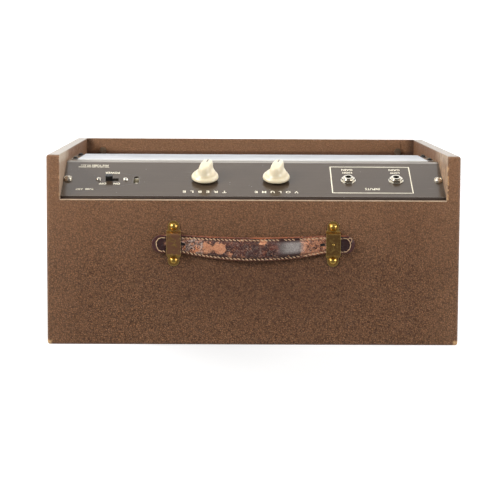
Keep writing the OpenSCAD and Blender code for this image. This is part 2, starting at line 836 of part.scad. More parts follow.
module speaker_frame() color("#3a3b3c") on_speaker() difference() {
  union() {
    rotate_extrude($fn = 96) polygon([
      [spk_r - 14, 0.1], [spk_r, 0.1], [spk_r, 1.8], [spk_r - 11, 1.8], [spk_r - 13, 9],
      [60, 46], [50, 52], [50, frame_back], [19, frame_back], [19, 52.4], [48.4, 52.4],
      [48.4, 51], [58.6, 44.8], [spk_r - 14.6, 8.5], [spk_r - 14, 5]]);
    // shelf that holds the spider
    rotate_extrude($fn = 96) polygon([
      [49.4, 43.2], [60.5, 43.2], [59, 46], [56, 46.8], [54, 44.6], [49.4, 44.6]]);
    // terminal strip
    block([-16, -wire_rise - 2, 24], [16, -wire_rise + 2, terminal_back]);
    for (side = [-1, 1])
      block([side * wire_x - 2, -wire_rise - 0.5, 20],
        [side * wire_x + 2, -wire_rise + 0.5, terminal_back]);
  }
  // windows of the basket
  for (a = [22.5:45:360]) rotate(a) translate([64, -13, 12]) cube([44, 26, 30]);
  at_speaker_screws() pin(2.1, -1, 4);
}

// Magnet with a ring-shaped groove around the voice coil.
module speaker_magnet() color("#8f9193") on_speaker() rotate_extrude($fn = 72) difference() {
  translate([0, frame_back + gap]) square([mag_r, 34]);
  translate([12.3, frame_back]) square([2.2, 16]);
}

module voice_coil() color("#b8763a") on_speaker() ring(coil_r, 12.9, 36, 64, 64, 64);

module speaker_cone() color("#2b2825") on_speaker() rotate_extrude($fn = 96) polygon([
  [neck_r, 38.6], [neck_r, 40], [18, 40], [spk_r - 22, 5.2], [spk_r - 19, 4.4],
  [spk_r - 19, 3.2], [spk_r - 22.6, 4], [17.6, 38.6]]);

// Shell between two spheres, cut off level at the rim.
module speaker_dust_cap() color("#231f1c") {
  centre = 66;
  rim = 34.7;
  on_speaker() rotate_extrude($fn = 72) difference() {
    intersection() {
      translate([0, centre]) circle(40);
      translate([0, 20]) square([24, rim - 20]);
    }
    translate([0, centre]) circle(39);
    translate([-1, rim]) square([60, 60]);
  }
}

module speaker_surround() color("#1c1a19") on_speaker() rotate_extrude($fn = 96) polygon([
  [spk_r - 18.95, 3.4], [spk_r - 18.95, 4.2], [spk_r - 17, 3.2], [spk_r - 15.4, 3.2],
  [spk_r - 14.05, 4], [spk_r - 14.05, 3.2], [spk_r - 15.4, 2.4], [spk_r - 17, 2.4]]);

// Corrugated disc: waves between two flat ends.
spider_last = 12;
function spider_point(i, level) = [neck_r + i * 3.333,
  level + (i == 0 || i == spider_last ? 0 : i % 2 == 0 ? 1 : -0.2)];

module speaker_spider() color("#b98a4a") on_speaker() rotate_extrude($fn = 72) polygon(concat(
  [for (i = [0:spider_last]) spider_point(i, 45.6)],
  [for (i = [spider_last:-1:0]) spider_point(i, 44.9)]));

module speaker_screws() color("#6f6c66")
  on_speaker() at_speaker_screws() translate([0, 0, 1.85]) {
    dome_head(3.6, 2.3);
    pin(1.75, -11.5, 0.1);
  }

// ---------- wires ----------

module speaker_wires() color("#a33a2a") at_speaker_wires()
  pin(1.2, terminal_back + gap, pan_y - baffle_back_y + 6.4 + gap, 24);

// Flat coil of half turns on the floor, a riser to the chassis, and a plug in the middle.
module power_cord() color("#2a2320") {
  step = 3.5;                      // growth in radius from one half turn to the next
  turns = 6;
  first_r = 34;
  elbow_r = 16;
  coil_x = cord_x - (first_r + (turns - 1) * step);
  coil_y = back_y - 92;
  cord_z = floor_z + cord_r + 0.15;
  elbow_y = cord_y - elbow_r;
  // even half turns lie to the back, odd ones to the front
  for (i = [0:turns - 1]) {
    odd = i % 2;
    translate([coil_x - (1 - odd) * step, coil_y, cord_z]) rotate(odd * 180)
      rotate_extrude(angle = 180, $fn = 64)
        translate([first_r + i * step, 0]) circle(cord_r, $fn = 24);
  }
  translate([cord_x, coil_y - 0.01, cord_z]) rotate([-90, 0, 0])
    pin(cord_r, 0, elbow_y - coil_y + 0.02, 24);
  translate([cord_x, elbow_y, cord_z + elbow_r]) rotate([0, 90, 0])
    rotate_extrude(angle = 90, $fn = 64) translate([elbow_r, 0]) circle(cord_r, $fn = 24);
  translate([cord_x, cord_y, cord_z + elbow_r - 0.01])
    pin(cord_r, 0, pan_z + 12 - cord_z - elbow_r, 24);
  // plug joined to the inner end of the coil
  translate([coil_x - step + first_r, coil_y, cord_z]) {
    translate([-11, -30, -cord_r]) cube([22, 30.1, 15]);
    for (side = [-1, 1]) block([side * 6.3 - 0.8, -48, 1], [side * 6.3 + 0.8, -29.9, 7.3]);
  }
}

// ---------- assembly ----------

cabinet_top();
cabinet_bottom();
cabinet_side_left();
cabinet_side_right();
vinyl_covering();
speaker_baffle();
cabinet_cleats();
grille_cloth();
grille_piping();
rubber_feet();
foot_bolts();
leather_handle();
handle_loop_left();
handle_loop_right();
handle_screws();
control_panel();
panel_screws();
cup_washers();
chassis_pan();
back_plate();
back_plate_screws();
volume_knob();
tone_knob();
volume_pot();
tone_pot();
volume_shaft();
tone_shaft();
pot_nuts();
input_jack_inner();
input_jack_outer();
jack_nuts();
jack_washers();
power_switch();
switch_slider();
switch_screws();
pilot_lamp();
lamp_holder();
mains_transformer_core();
mains_transformer_cover();
output_transformer_core();
output_transformer_coil();
filter_capacitor();
tube_sockets();
octal_tube_bases();
power_tube_glass();
rectifier_glass();
preamp_tube_glass();
tube_plates();
component_board();
board_components();
speaker_frame();
speaker_magnet();
speaker_cone();
speaker_surround();
speaker_dust_cap();
speaker_spider();
voice_coil();
speaker_screws();
speaker_wires();
power_cord();
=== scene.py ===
"""A small tube amplifier seen from above and behind: vinyl covered cabinet, sloping control
panel with two pointer knobs, leather strap handle, open back with tubes and speaker.

The amplifier stands on z = 0. x runs across it, +y is the back (panel side), -y the front
(grille side). Shapes are worked out in mm, shaders in metres on object coordinates.
"""
import math

import bmesh
import bpy
import numpy as np
from mathutils import Matrix, Vector

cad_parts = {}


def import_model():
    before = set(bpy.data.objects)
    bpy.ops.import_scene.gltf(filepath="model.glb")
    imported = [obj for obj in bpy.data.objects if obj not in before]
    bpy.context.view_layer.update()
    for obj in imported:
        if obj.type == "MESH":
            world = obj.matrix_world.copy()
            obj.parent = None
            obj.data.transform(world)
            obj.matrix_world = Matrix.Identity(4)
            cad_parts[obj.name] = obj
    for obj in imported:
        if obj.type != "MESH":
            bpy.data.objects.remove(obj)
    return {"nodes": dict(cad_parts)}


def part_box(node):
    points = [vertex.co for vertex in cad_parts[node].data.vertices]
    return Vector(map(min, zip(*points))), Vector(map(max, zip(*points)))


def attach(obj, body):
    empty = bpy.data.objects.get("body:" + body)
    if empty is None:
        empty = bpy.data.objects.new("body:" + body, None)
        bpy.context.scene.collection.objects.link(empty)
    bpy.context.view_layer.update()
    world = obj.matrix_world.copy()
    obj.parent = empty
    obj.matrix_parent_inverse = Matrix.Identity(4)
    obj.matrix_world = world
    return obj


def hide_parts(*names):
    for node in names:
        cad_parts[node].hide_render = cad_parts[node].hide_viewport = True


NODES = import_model()["nodes"]
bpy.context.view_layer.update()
MM = 0.001
RANDOM = np.random.default_rng(7)

# ---------------------------------------------------------------- driving dimensions, mm
LOW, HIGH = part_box("vinyl_covering")
SIDE, BACK, TOP = (value / MM for value in HIGH)
FRONT, BOTTOM = LOW.y / MM, LOW.z / MM
WALL = 14.2                             # covered board
INNER_SIDE = SIDE - WALL
INNER_FLOOR = BOTTOM + WALL
BOARD_REAR = FRONT + 153.3              # rear edge of the top board

PANEL_TILT = math.radians(22.8)         # slope of the panel from upright
SIN_TILT, COS_TILT = math.sin(PANEL_TILT), math.cos(PANEL_TILT)
PANEL_Y, PANEL_Z = BACK - 45.1, TOP - 2  # upper edge line of the slope
KNOB_ROW = 41.5                         # down the slope
VOLUME_X, TREBLE_X = 24.4, -51.3

LOOP_X, LOOP_Y = 83.3, 7.5              # centres of the two handle loops
SPEAKER_Z = 184                         # speaker axis
BOTH = (-1, 1)


def on_panel(x, down, out=0.0):
    """Point on the panel: x across, down the slope, out of its face."""
    return Vector((x, PANEL_Y + down * SIN_TILT + out * COS_TILT,
                   PANEL_Z - down * COS_TILT + out * SIN_TILT))


def ease(t):
    """Smooth step from 0 to 1."""
    t = min(1.0, max(0.0, t))
    return t * t * (3 - 2 * t)


def band(x, start, end, fade_in, fade_out):
    """1 between start and end, fading to 0 inside both ends."""
    return ease((x - start) / fade_in) * ease((end - x) / fade_out)


# ---------------------------------------------------------------- shader builder
MATERIALS = {}


def fresh_tree(owner):
    """Empty node tree of a material or world."""
    owner.use_nodes = True
    owner.node_tree.nodes.clear()
    return owner.node_tree


def linear(colour):
    """Linear RGBA. Three numbers are read as sRGB from 0 to 255, anything else is kept."""
    if isinstance(colour, Value) or len(colour) == 4:
        return colour
    parts = [part / 255.0 for part in colour]
    return (*(p / 12.92 if p <= 0.04045 else ((p + 0.055) / 1.055) ** 2.4 for p in parts), 1.0)


def shade(colour, gain, lift=0.0):
    """Colour made darker or lighter in linear light."""
    return (*(min(1, part * gain + lift) for part in linear(colour)[:3]), 1)


class Value:
    """Output socket to calculate with. Every operation adds one node."""

    def __init__(self, shader, socket):
        self.shader = shader
        self.socket = socket

    def math(self, operation, *others):
        inputs = dict(enumerate((self, *others)))
        return self.shader.node("ShaderNodeMath", inputs, operation=operation)

    def __add__(self, other):
        return self.math("ADD", other)

    def __sub__(self, other):
        return self.math("SUBTRACT", other)

    def __rsub__(self, other):
        return self.shader.node("ShaderNodeMath", {0: other, 1: self}, operation="SUBTRACT")

    def __mul__(self, other):
        return self.math("MULTIPLY", other)

    def __abs__(self):
        return self.math("ABSOLUTE")

    def max(self, other):
        return self.math("MAXIMUM", other)

    def min(self, other):
        return self.math("MINIMUM", other)

    def wave(self, pitch):
        """Sine with this pitch, -1 to 1."""
        return (self * (2 * math.pi / pitch)).math("SINE")

    def fit(self, start, end, to=(0.0, 1.0), smooth=False):
        """Maps start..end onto the range `to`, clamped."""
        return self.shader.node("ShaderNodeMapRange", dict(enumerate((self, start, end, *to))),
                                interpolation_type="SMOOTHSTEP" if smooth else "LINEAR")

    def lerp(self, low, high):
        """Number going from low to high as this mask goes from 0 to 1."""
        return self.shader.node("ShaderNodeMix", {0: self, 2: low, 3: high}, data_type="FLOAT")

    def mix(self, low, high):
        """Colour going from low to high as this mask goes from 0 to 1."""
        inputs = {0: self, 6: linear(low), 7: linear(high)}
        return self.shader.node("ShaderNodeMix", inputs, output=2, data_type="RGBA")


class Shader:
    """Principled material with a running colour that paint() lays masks over."""

    def __init__(self, name):
        material = bpy.data.materials.new(name)
        self.tree = fresh_tree(material)
        output = self.tree.nodes.new("ShaderNodeOutputMaterial")
        self.surface = self.tree.nodes.new("ShaderNodeBsdfPrincipled")
        self.tree.links.new(self.surface.outputs[0], output.inputs["Surface"])
        self.place = self.node("ShaderNodeTexCoord", output="Object")
        self.colour = None
        MATERIALS[name] = material

    def put(self, socket, value):
        if isinstance(value, Value):
            self.tree.links.new(value.socket, socket)
        else:
            socket.default_value = value

    def node(self, kind, inputs=(), output=0, **settings):
        node = self.tree.nodes.new(kind)
        for key, value in settings.items():
            setattr(node, key, value)
        for key, value in dict(inputs).items():
            self.put(node.inputs[key], value)
        return Value(self, node.outputs[output])

    def split(self, vector):
        first = self.node("ShaderNodeSeparateXYZ", {0: vector})
        return [Value(self, socket) for socket in first.socket.node.outputs]

    def xyz(self):
        return self.split(self.place)

    def attribute(self, name):
        return self.split(self.node("ShaderNodeAttribute", output="Vector", attribute_name=name))

    def stretch(self, scale, turn=(0, 0, 0)):
        """Coordinates scaled per axis, for streaks."""
        inputs = {"Vector": self.place, "Scale": scale, "Rotation": turn}
        return self.node("ShaderNodeMapping", inputs)

    def noise(self, scale, detail=3.0, rough=0.6, warp=0.0, at=None, output="Fac"):
        inputs = {"Vector": at or self.place, "Scale": scale, "Detail": detail,
                  "Roughness": rough, "Distortion": warp}
        return self.node("ShaderNodeTexNoise", inputs, output)

    def cells(self, scale, at=None, edges=False):
        """Distance to the cell centres, or to the cell edges."""
        return self.node("ShaderNodeTexVoronoi", {"Vector": at or self.place, "Scale": scale},
                         "Distance", feature="DISTANCE_TO_EDGE" if edges else "F1")

    def steps(self, value, stops):
        """Colour bands: (start, colour) pairs."""
        result = self.node("ShaderNodeValToRGB", {0: value})
        ramp = result.socket.node.color_ramp
        ramp.interpolation = "CONSTANT"
        while len(ramp.elements) < len(stops):
            ramp.elements.new(0.5)
        for element, (position, colour) in zip(ramp.elements, stops):
            element.position = position
            element.color = linear(colour)
        return result

    def rounded(self, radius):
        """Normal that rounds the edges off."""
        return self.node("ShaderNodeBevel", {"Radius": radius}, samples=4)

    def edge(self, radius):
        """1 on edges, 0 on flats."""
        flat = self.node("ShaderNodeNewGeometry", output="Normal")
        inputs = {0: self.rounded(radius), 1: flat}
        dot = self.node("ShaderNodeVectorMath", inputs, "Value", operation="DOT_PRODUCT")
        return dot.fit(0.995, 0.85)

    def vary(self, colour, scale, amount, dark=0.75, light=1.2):
        """Starts the colour with soft light and dark patches."""
        patches = self.noise(scale, warp=0.2).fit(0.3, 0.7)
        self.colour = patches.mix(shade(colour, 1 - amount * (1 - dark)),
                                  shade(colour, 1 + amount * (light - 1)))

    def paint(self, where, colour):
        self.colour = where.mix(self.colour, colour)

    def finish(self, rough, height, depth, strength, metal=0.0, normal=None, **others):
        """Connects colour, roughness and bump; others are Principled inputs."""
        bump = {"Strength": strength, "Distance": depth, "Height": height}
        if normal is not None:
            bump["Normal"] = normal
        inputs = {"Base Color": self.colour, "Roughness": rough, "Metallic": metal,
                  "Normal": self.node("ShaderNodeBump", bump), **others}
        for key, value in inputs.items():
            self.put(self.surface.inputs[key.replace("_", " ")], value)


# ---------------------------------------------------------------- materials
def vinyl():
    """Brown pebbled covering with wear, and painted light and shade, placed on the cabinet."""
    mat = Shader("vinyl")
    x, y, z = mat.xyz()
    # pebble grain: warped cells with dark creases, and finer pores
    shift = mat.node("ShaderNodeVectorMath",
                     {0: mat.noise(210, output="Color"), 1: (0.0030, 0.0030, 0.0030)},
                     operation="MULTIPLY")
    warped = mat.node("ShaderNodeVectorMath", {0: mat.place, 1: shift}, operation="ADD")
    crease = mat.cells(500, warped, edges=True).fit(0.04, 0.30, to=(1, 0), smooth=True)
    pores = mat.cells(700, warped)
    fine = mat.noise(1500)
    mid = mat.noise(330, warp=0.6)
    height = fine * 0.25 + mid * 0.6 - (crease + pores * 0.5)
    big = mat.noise(5.5, detail=4, warp=0.4)
    blot = mat.noise(38, detail=4, rough=0.65, warp=0.3)
    mat.colour = big.fit(0.35, 0.68).mix((120, 81, 54), (130, 91, 62))
    mat.paint(blot.fit(0.45, 0.75, to=(0, 0.16)), (132, 94, 66))
    dark = crease * mat.noise(230).fit(0.34, 0.60, to=(0.72, 1.0))
    mat.paint(dark * 0.70, (48, 31, 18))
    mat.paint(mid.fit(0.55, 0.76, to=(0, 0.16)), (154, 122, 94))
    mat.paint(pores.fit(0.50, 0.70, to=(0, 0.66)), (44, 28, 16))
    # fine streaks along x
    streak = mat.noise(1.0, detail=4, rough=0.7, warp=0.2, at=mat.stretch((18, 420, 420)))
    mat.paint(streak.fit(0.62, 0.72, to=(0, 0.20)), (150, 116, 90))
    # painted light: paler towards the back and the sides; painted shade on top in front of the
    # handle
    back_light = (y + (big - 0.5) * 0.08).fit(-0.02, 0.085)
    mat.paint(back_light * 0.26, (156, 114, 82))
    mat.paint(abs(x).fit(0.170, 0.216, to=(0, 0.13)), (158, 120, 90))
    handle_shade = abs(y + 0.035).fit(0.06, 0.0, smooth=True) * abs(x).fit(0.16, 0.04, smooth=True)
    handle_shade = handle_shade * z.fit((TOP - 3) * MM, (TOP - 1) * MM)
    mat.paint(handle_shade * 0.26, (58, 34, 20))
    # worn outside edges: the middle one of the three face distances is small there
    from_x = SIDE * MM - abs(x)
    from_y = (y - FRONT * MM).min(BACK * MM - y)
    from_z = (z - BOTTOM * MM).min(TOP * MM - z)
    middle = from_x.min(from_y).max(from_x.max(from_y).min(from_z))
    ragged = mat.noise(55, detail=5, rough=0.7) * 0.010
    edge = (middle + ragged).fit(0.0064, 0.0026, smooth=True)
    mat.paint(edge * 0.50, (158, 124, 96))
    # front corners worn through to the cloth
    furthest = from_x.max(from_y).max(from_z)
    corner = (furthest + ragged * 0.9).fit(0.0108, 0.0078, smooth=True)
    mat.paint(corner * y.fit(0.0, -0.01), (182, 146, 104))
    # rear edge of the top board: a cream line of painted highlight where its rounded edge catches
    # the light
    rear = abs(y - (BOARD_REAR - 0.15) * MM).fit(0.0004, 0.0011, to=(1, 0), smooth=True)
    rear = rear * (z.fit((TOP - 2.0) * MM, (TOP - 0.7) * MM) * abs(x).fit(0.2022, 0.2014))
    rear = rear * mat.noise(120).fit(0.30, 0.46, to=(0.60, 1.0))
    mat.paint(rear * 0.88, (198, 176, 150))
    # inner side walls behind the top board: painted light makes them pale, more on the left and
    # paler still towards the rear edge; frayed light and dark streaks of wear
    behind = y.fit((BOARD_REAR + 0.2) * MM, (BOARD_REAR + 0.6) * MM)
    inner = abs(x).fit(0.2026, 0.2022) * abs(x).fit(0.2012, 0.2014)
    inner = inner * behind * z.fit(0.26, 0.33)
    mat.paint(inner * x.fit(-0.01, 0.01, to=(0.62, 0.46)), (182, 158, 134))
    rim = inner * (y + (blot - 0.5) * 0.008).fit(0.0885, 0.0955, smooth=True)
    mat.paint(rim * x.fit(-0.01, 0.01, to=(0.62, 0.34)), (204, 190, 170))
    fray = mat.noise(1.0, detail=4, rough=0.75, warp=0.4,
                     at=mat.stretch((60, 90, 420), turn=(0.4, 0, 0)))
    mat.paint(inner * fray.fit(0.53, 0.60) * x.fit(0.0, 0.01) * 0.8, (214, 172, 128))
    dark = inner * fray.fit(0.47, 0.40) * x.fit(-0.01, 0.01, to=(0.3, 1.0))
    mat.paint(dark * 0.75, (88, 56, 38))
    # the same wear on the upper inner edge of the side boards
    height_mask = z.fit((TOP - 2.2) * MM, (TOP - 0.9) * MM) * behind
    arris = abs(abs(x) - 0.2026).fit(0.0014, 0.0006) * height_mask
    arris = arris * mat.noise(160, detail=4, rough=0.7).fit(0.52, 0.62)
    mat.paint(arris * x.fit(-0.01, 0.01, to=(0.3, 0.75)), (200, 158, 112))
    # cabinet floor: painted light makes it lighter, with a painted shadow over its front part and
    # painted shade in its corners
    floor = z.fit(0.030, 0.027) * abs(x).fit(0.2022, 0.2014) * z.fit(0.0255, 0.0261)
    mat.paint(floor * 0.10, (180, 138, 104))
    mat.paint(floor * y.fit(0.0862, 0.0838) * 0.6, (60, 36, 24))
    floor_corner_shade = floor * (abs(x) + (blot - 0.5) * 0.012).fit(0.1915, 0.1985)
    mat.paint(floor_corner_shade * 0.68, (52, 34, 24))
    # rear end faces of the sides: smooth, and painted pale as lit by the strong light from behind
    end = y.fit(0.0987, 0.0996) * abs(x).fit(0.2014, 0.2022)
    mat.paint(end * 0.74, mid.fit(0.35, 0.62).mix((178, 173, 164), (152, 146, 136)))
    rough = mat.noise(90).fit(0.3, 0.7, to=(0.44, 0.60))
    rough = end.lerp(edge.lerp(rough, 0.62), 0.42)
    mat.finish(rough, height, depth=0.00040, strength=end.lerp(0.8, 0.15),
               normal=mat.rounded(0.0012), Specular_IOR_Level=end.lerp(0.24, 0.32))


def plywood(name, light=1.0, grain=(3, 46, 46)):
    """Wood; `grain` is the frequency per axis, lowest along the grain."""
    mat = Shader(name)
    along = mat.stretch(grain)
    figure = mat.noise(1.0, detail=6, rough=0.65, warp=1.2, at=along)
    rings = mat.node("ShaderNodeTexWave",
                     {"Vector": along, "Scale": 0.35, "Distortion": 7.0, "Detail": 3.0,
                      "Detail Scale": 1.4},
                     "Fac", wave_type="BANDS", bands_direction="DIAGONAL")
    pores = mat.noise(1.0, rough=0.8, at=mat.stretch(tuple(part * 22 for part in grain)))
    pale, brown = ([part * light for part in c] for c in ((203, 166, 117), (160, 120, 76)))
    mat.colour = (figure * 0.6 + rings * 0.4).fit(0.3, 0.7).mix(pale, brown)
    mat.paint(pores.fit(0.58, 0.68, to=(0, 0.6)), (104, 72, 42))
    mat.paint(mat.noise(9, detail=4).fit(0.5, 0.8, to=(0, 0.35)), (120, 98, 74))
    mat.finish(rough=figure.fit(0.3, 0.7, to=(0.6, 0.8)), height=figure * 0.5 + pores * 0.5,
               depth=0.0003, strength=0.6)


def metal(name, colour, rough=0.3, brushed=None, stain=0.3, stain_colour=None, edge=0.0,
          pits=0.3, blotch_scale=60, top=None):
    """Metal with stains and pits; `brushed` is a streak frequency per axis, `top` the height
    in mm of an upper edge painted pale and matte as lit, with a painted highlight brightening
    towards it."""
    mat = Shader(name)
    blotch = mat.noise(blotch_scale, detail=5, rough=0.65, warp=0.4)
    fine = mat.noise(900)
    brush = mat.noise(1.0 if brushed else 700, detail=4, rough=0.65,
                      at=mat.stretch(brushed) if brushed else None)
    mat.vary(colour, scale=22, amount=0.7)
    mat.paint(blotch.fit(0.52, 0.74, to=(0, stain)), stain_colour or shade(colour, 0.45))
    mat.paint(fine.fit(0.62, 0.72, to=(0, pits)), shade(colour, 0.35))
    if edge:
        mat.paint(mat.edge(0.0006) * edge, shade(colour, 1.6, 0.03))
    roughness = (blotch.fit(0.3, 0.75, to=(rough * 0.8, rough * 1.5))
                 + brush.fit(0.3, 0.7, to=(-0.06, 0.08)))
    metallic = 1.0
    if top:
        z = mat.xyz()[2]
        # painted highlight brightening towards the top, and the top edge painted pale and matte
        # as lit
        lit_top_edge = z.fit(top * MM - 0.0006, top * MM - 0.0002)
        mat.paint(z.fit(top * MM - 0.072, top * MM - 0.006) * 0.75, (204, 205, 205))
        mat.paint(lit_top_edge, blotch.fit(0.4, 0.6).mix((210, 208, 202), (200, 197, 190)))
        roughness = lit_top_edge.lerp(roughness, 0.6)
        metallic = 1.0 - lit_top_edge
    mat.finish(roughness, height=brush * 0.6 + fine * 0.4, depth=0.00006, strength=0.5,
               metal=metallic)


def painted(name, colour, rough, scratch, grain, depth):
    """Enamel with scratches showing lighter."""
    mat = Shader(name)
    fine = mat.noise(grain)
    mat.vary(colour, scale=14, amount=0.5)
    mat.paint(fine.fit(0.35, 0.7, to=(0, 0.16)), shade(colour, 1.7, 0.01))
    lines = mat.noise(1.0, warp=0.3, at=mat.stretch((30, 900, 900), turn=(0.1, 0.2, 0.5)))
    marks = lines.fit(0.66, 0.72) * mat.noise(25, rough=0.5).fit(0.5, 0.62)
    mat.paint(marks * scratch, shade(colour, 2.4, 0.05))
    mat.finish(rough=mat.noise(70, detail=4).fit(0.3, 0.7, to=(rough * 0.85, rough * 1.25)),
               height=fine + marks * -1.5, depth=depth, strength=0.5,
               Coat_Weight=0.0, Coat_Roughness=0.25)


def panel_paint():
    """Dark brown paint brushed across the panel."""
    mat = Shader("panel_paint")
    _, y, z = mat.xyz()
    brush = mat.noise(1.0, detail=4, rough=0.7, at=mat.stretch((16, 900, 900)))
    fine = mat.noise(1300)
    blot = mat.noise(12, detail=4, warp=0.3)
    mat.colour = blot.fit(0.35, 0.7).mix((62, 51, 40), (69, 57, 45))
    mat.paint(brush.fit(0.35, 0.7, to=(0, 0.22)), (86, 73, 60))
    mat.paint(fine.fit(0.3, 0.45, to=(0.25, 0)), (60, 50, 43))
    # specks of bare metal and hairline scratches
    specks = mat.cells(190).fit(0.075, 0.05)
    some = mat.noise(45, detail=2, rough=0.55).fit(0.57, 0.6)
    mat.paint(specks * some * 0.7, (196, 190, 180))
    hair = mat.noise(1.0, detail=2, warp=0.4, at=mat.stretch((14, 700, 700), (0.0, 0.35, 0.2)))
    hair = hair.fit(0.70, 0.73) * mat.noise(18, detail=2, rough=0.55).fit(0.5, 0.6)
    mat.paint(hair * 0.3, (160, 148, 136))
    # bare metal on the edges of the sheet
    edge = mat.edge(0.0011)
    mat.paint(edge * 0.5, (190, 186, 180))
    rough = (brush * 0.5 + blot * 0.5).fit(0.3, 0.7, to=(0.15, 0.24))
    # dark line of painted shadow, and the bare bend, low on the slope
    down = (PANEL_Z * MM - z) * COS_TILT + (y - PANEL_Y * MM) * SIN_TILT
    bend = down.fit(0.0829, 0.0833)
    line = down.fit(0.0812, 0.0816) * down.fit(0.0829, 0.0825)
    mat.paint(line * 0.22, (30, 25, 21))
    mat.paint(bend, brush.fit(0.35, 0.65).mix((148, 141, 132), (136, 129, 121)))
    mat.finish(bend.lerp(rough, 0.5), height=brush + fine * 0.6, depth=0.00002, strength=0.5,
               metal=edge * 0.5, Specular_IOR_Level=0.3)


def plastic(name, colour, dirt, rough=0.35, depth=0.00005, dirt_amount=0.3):
    mat = Shader(name)
    fine = mat.noise(1400)
    mid = mat.noise(60, detail=4, rough=0.65, warp=0.4)
    mat.vary(colour, scale=40, amount=0.4)
    mat.paint(mid.fit(0.5, 0.75, to=(0, dirt_amount)), dirt)
    mat.finish(rough=mid.fit(0.3, 0.7, to=(rough * 0.85, rough * 1.3)),
               height=fine + mid * 0.8, depth=depth, strength=0.5)


def knob_plastic():
    """Ivory, in the knob's own mm: across, towards the tip, up."""
    mat = Shader("knob_ivory")
    across, along, up = mat.attribute("knob")
    mid = mat.noise(95, detail=4, rough=0.65, warp=0.5)
    fine = mat.noise(1500)
    mat.colour = mid.fit(0.35, 0.7).mix((218, 206, 177), (206, 192, 160))
    # painted shade in the crease above the skirt and low on the sides
    crease = abs(up - 5.2).fit(0.0, 1.3, to=(1, 0), smooth=True)
    mat.paint(crease * mid.fit(0.3, 0.6, to=(0.10, 0.34)), (160, 134, 92))
    mat.paint(up.fit(1.2, 0.0) * 0.35, (170, 148, 108))
    # engraved indicator line on the ridge, filled dark
    line = abs(across).fit(0.55, 0.80, to=(1, 0)) * (along.fit(8.4, 9.0) * up.fit(11.6, 12.1))
    line = line * along.fit(17.3, 16.8)
    mat.paint(line, (62, 52, 40))
    mat.finish(rough=mid.fit(0.3, 0.7, to=(0.26, 0.40)),
               height=line * -1.0 + (fine * 0.05 + mid * 0.08), depth=0.0003, strength=0.6,
               Coat_Weight=0.25, Coat_Roughness=0.2,
               Subsurface_Weight=0.12, Subsurface_Radius=(0.003, 0.002, 0.001))


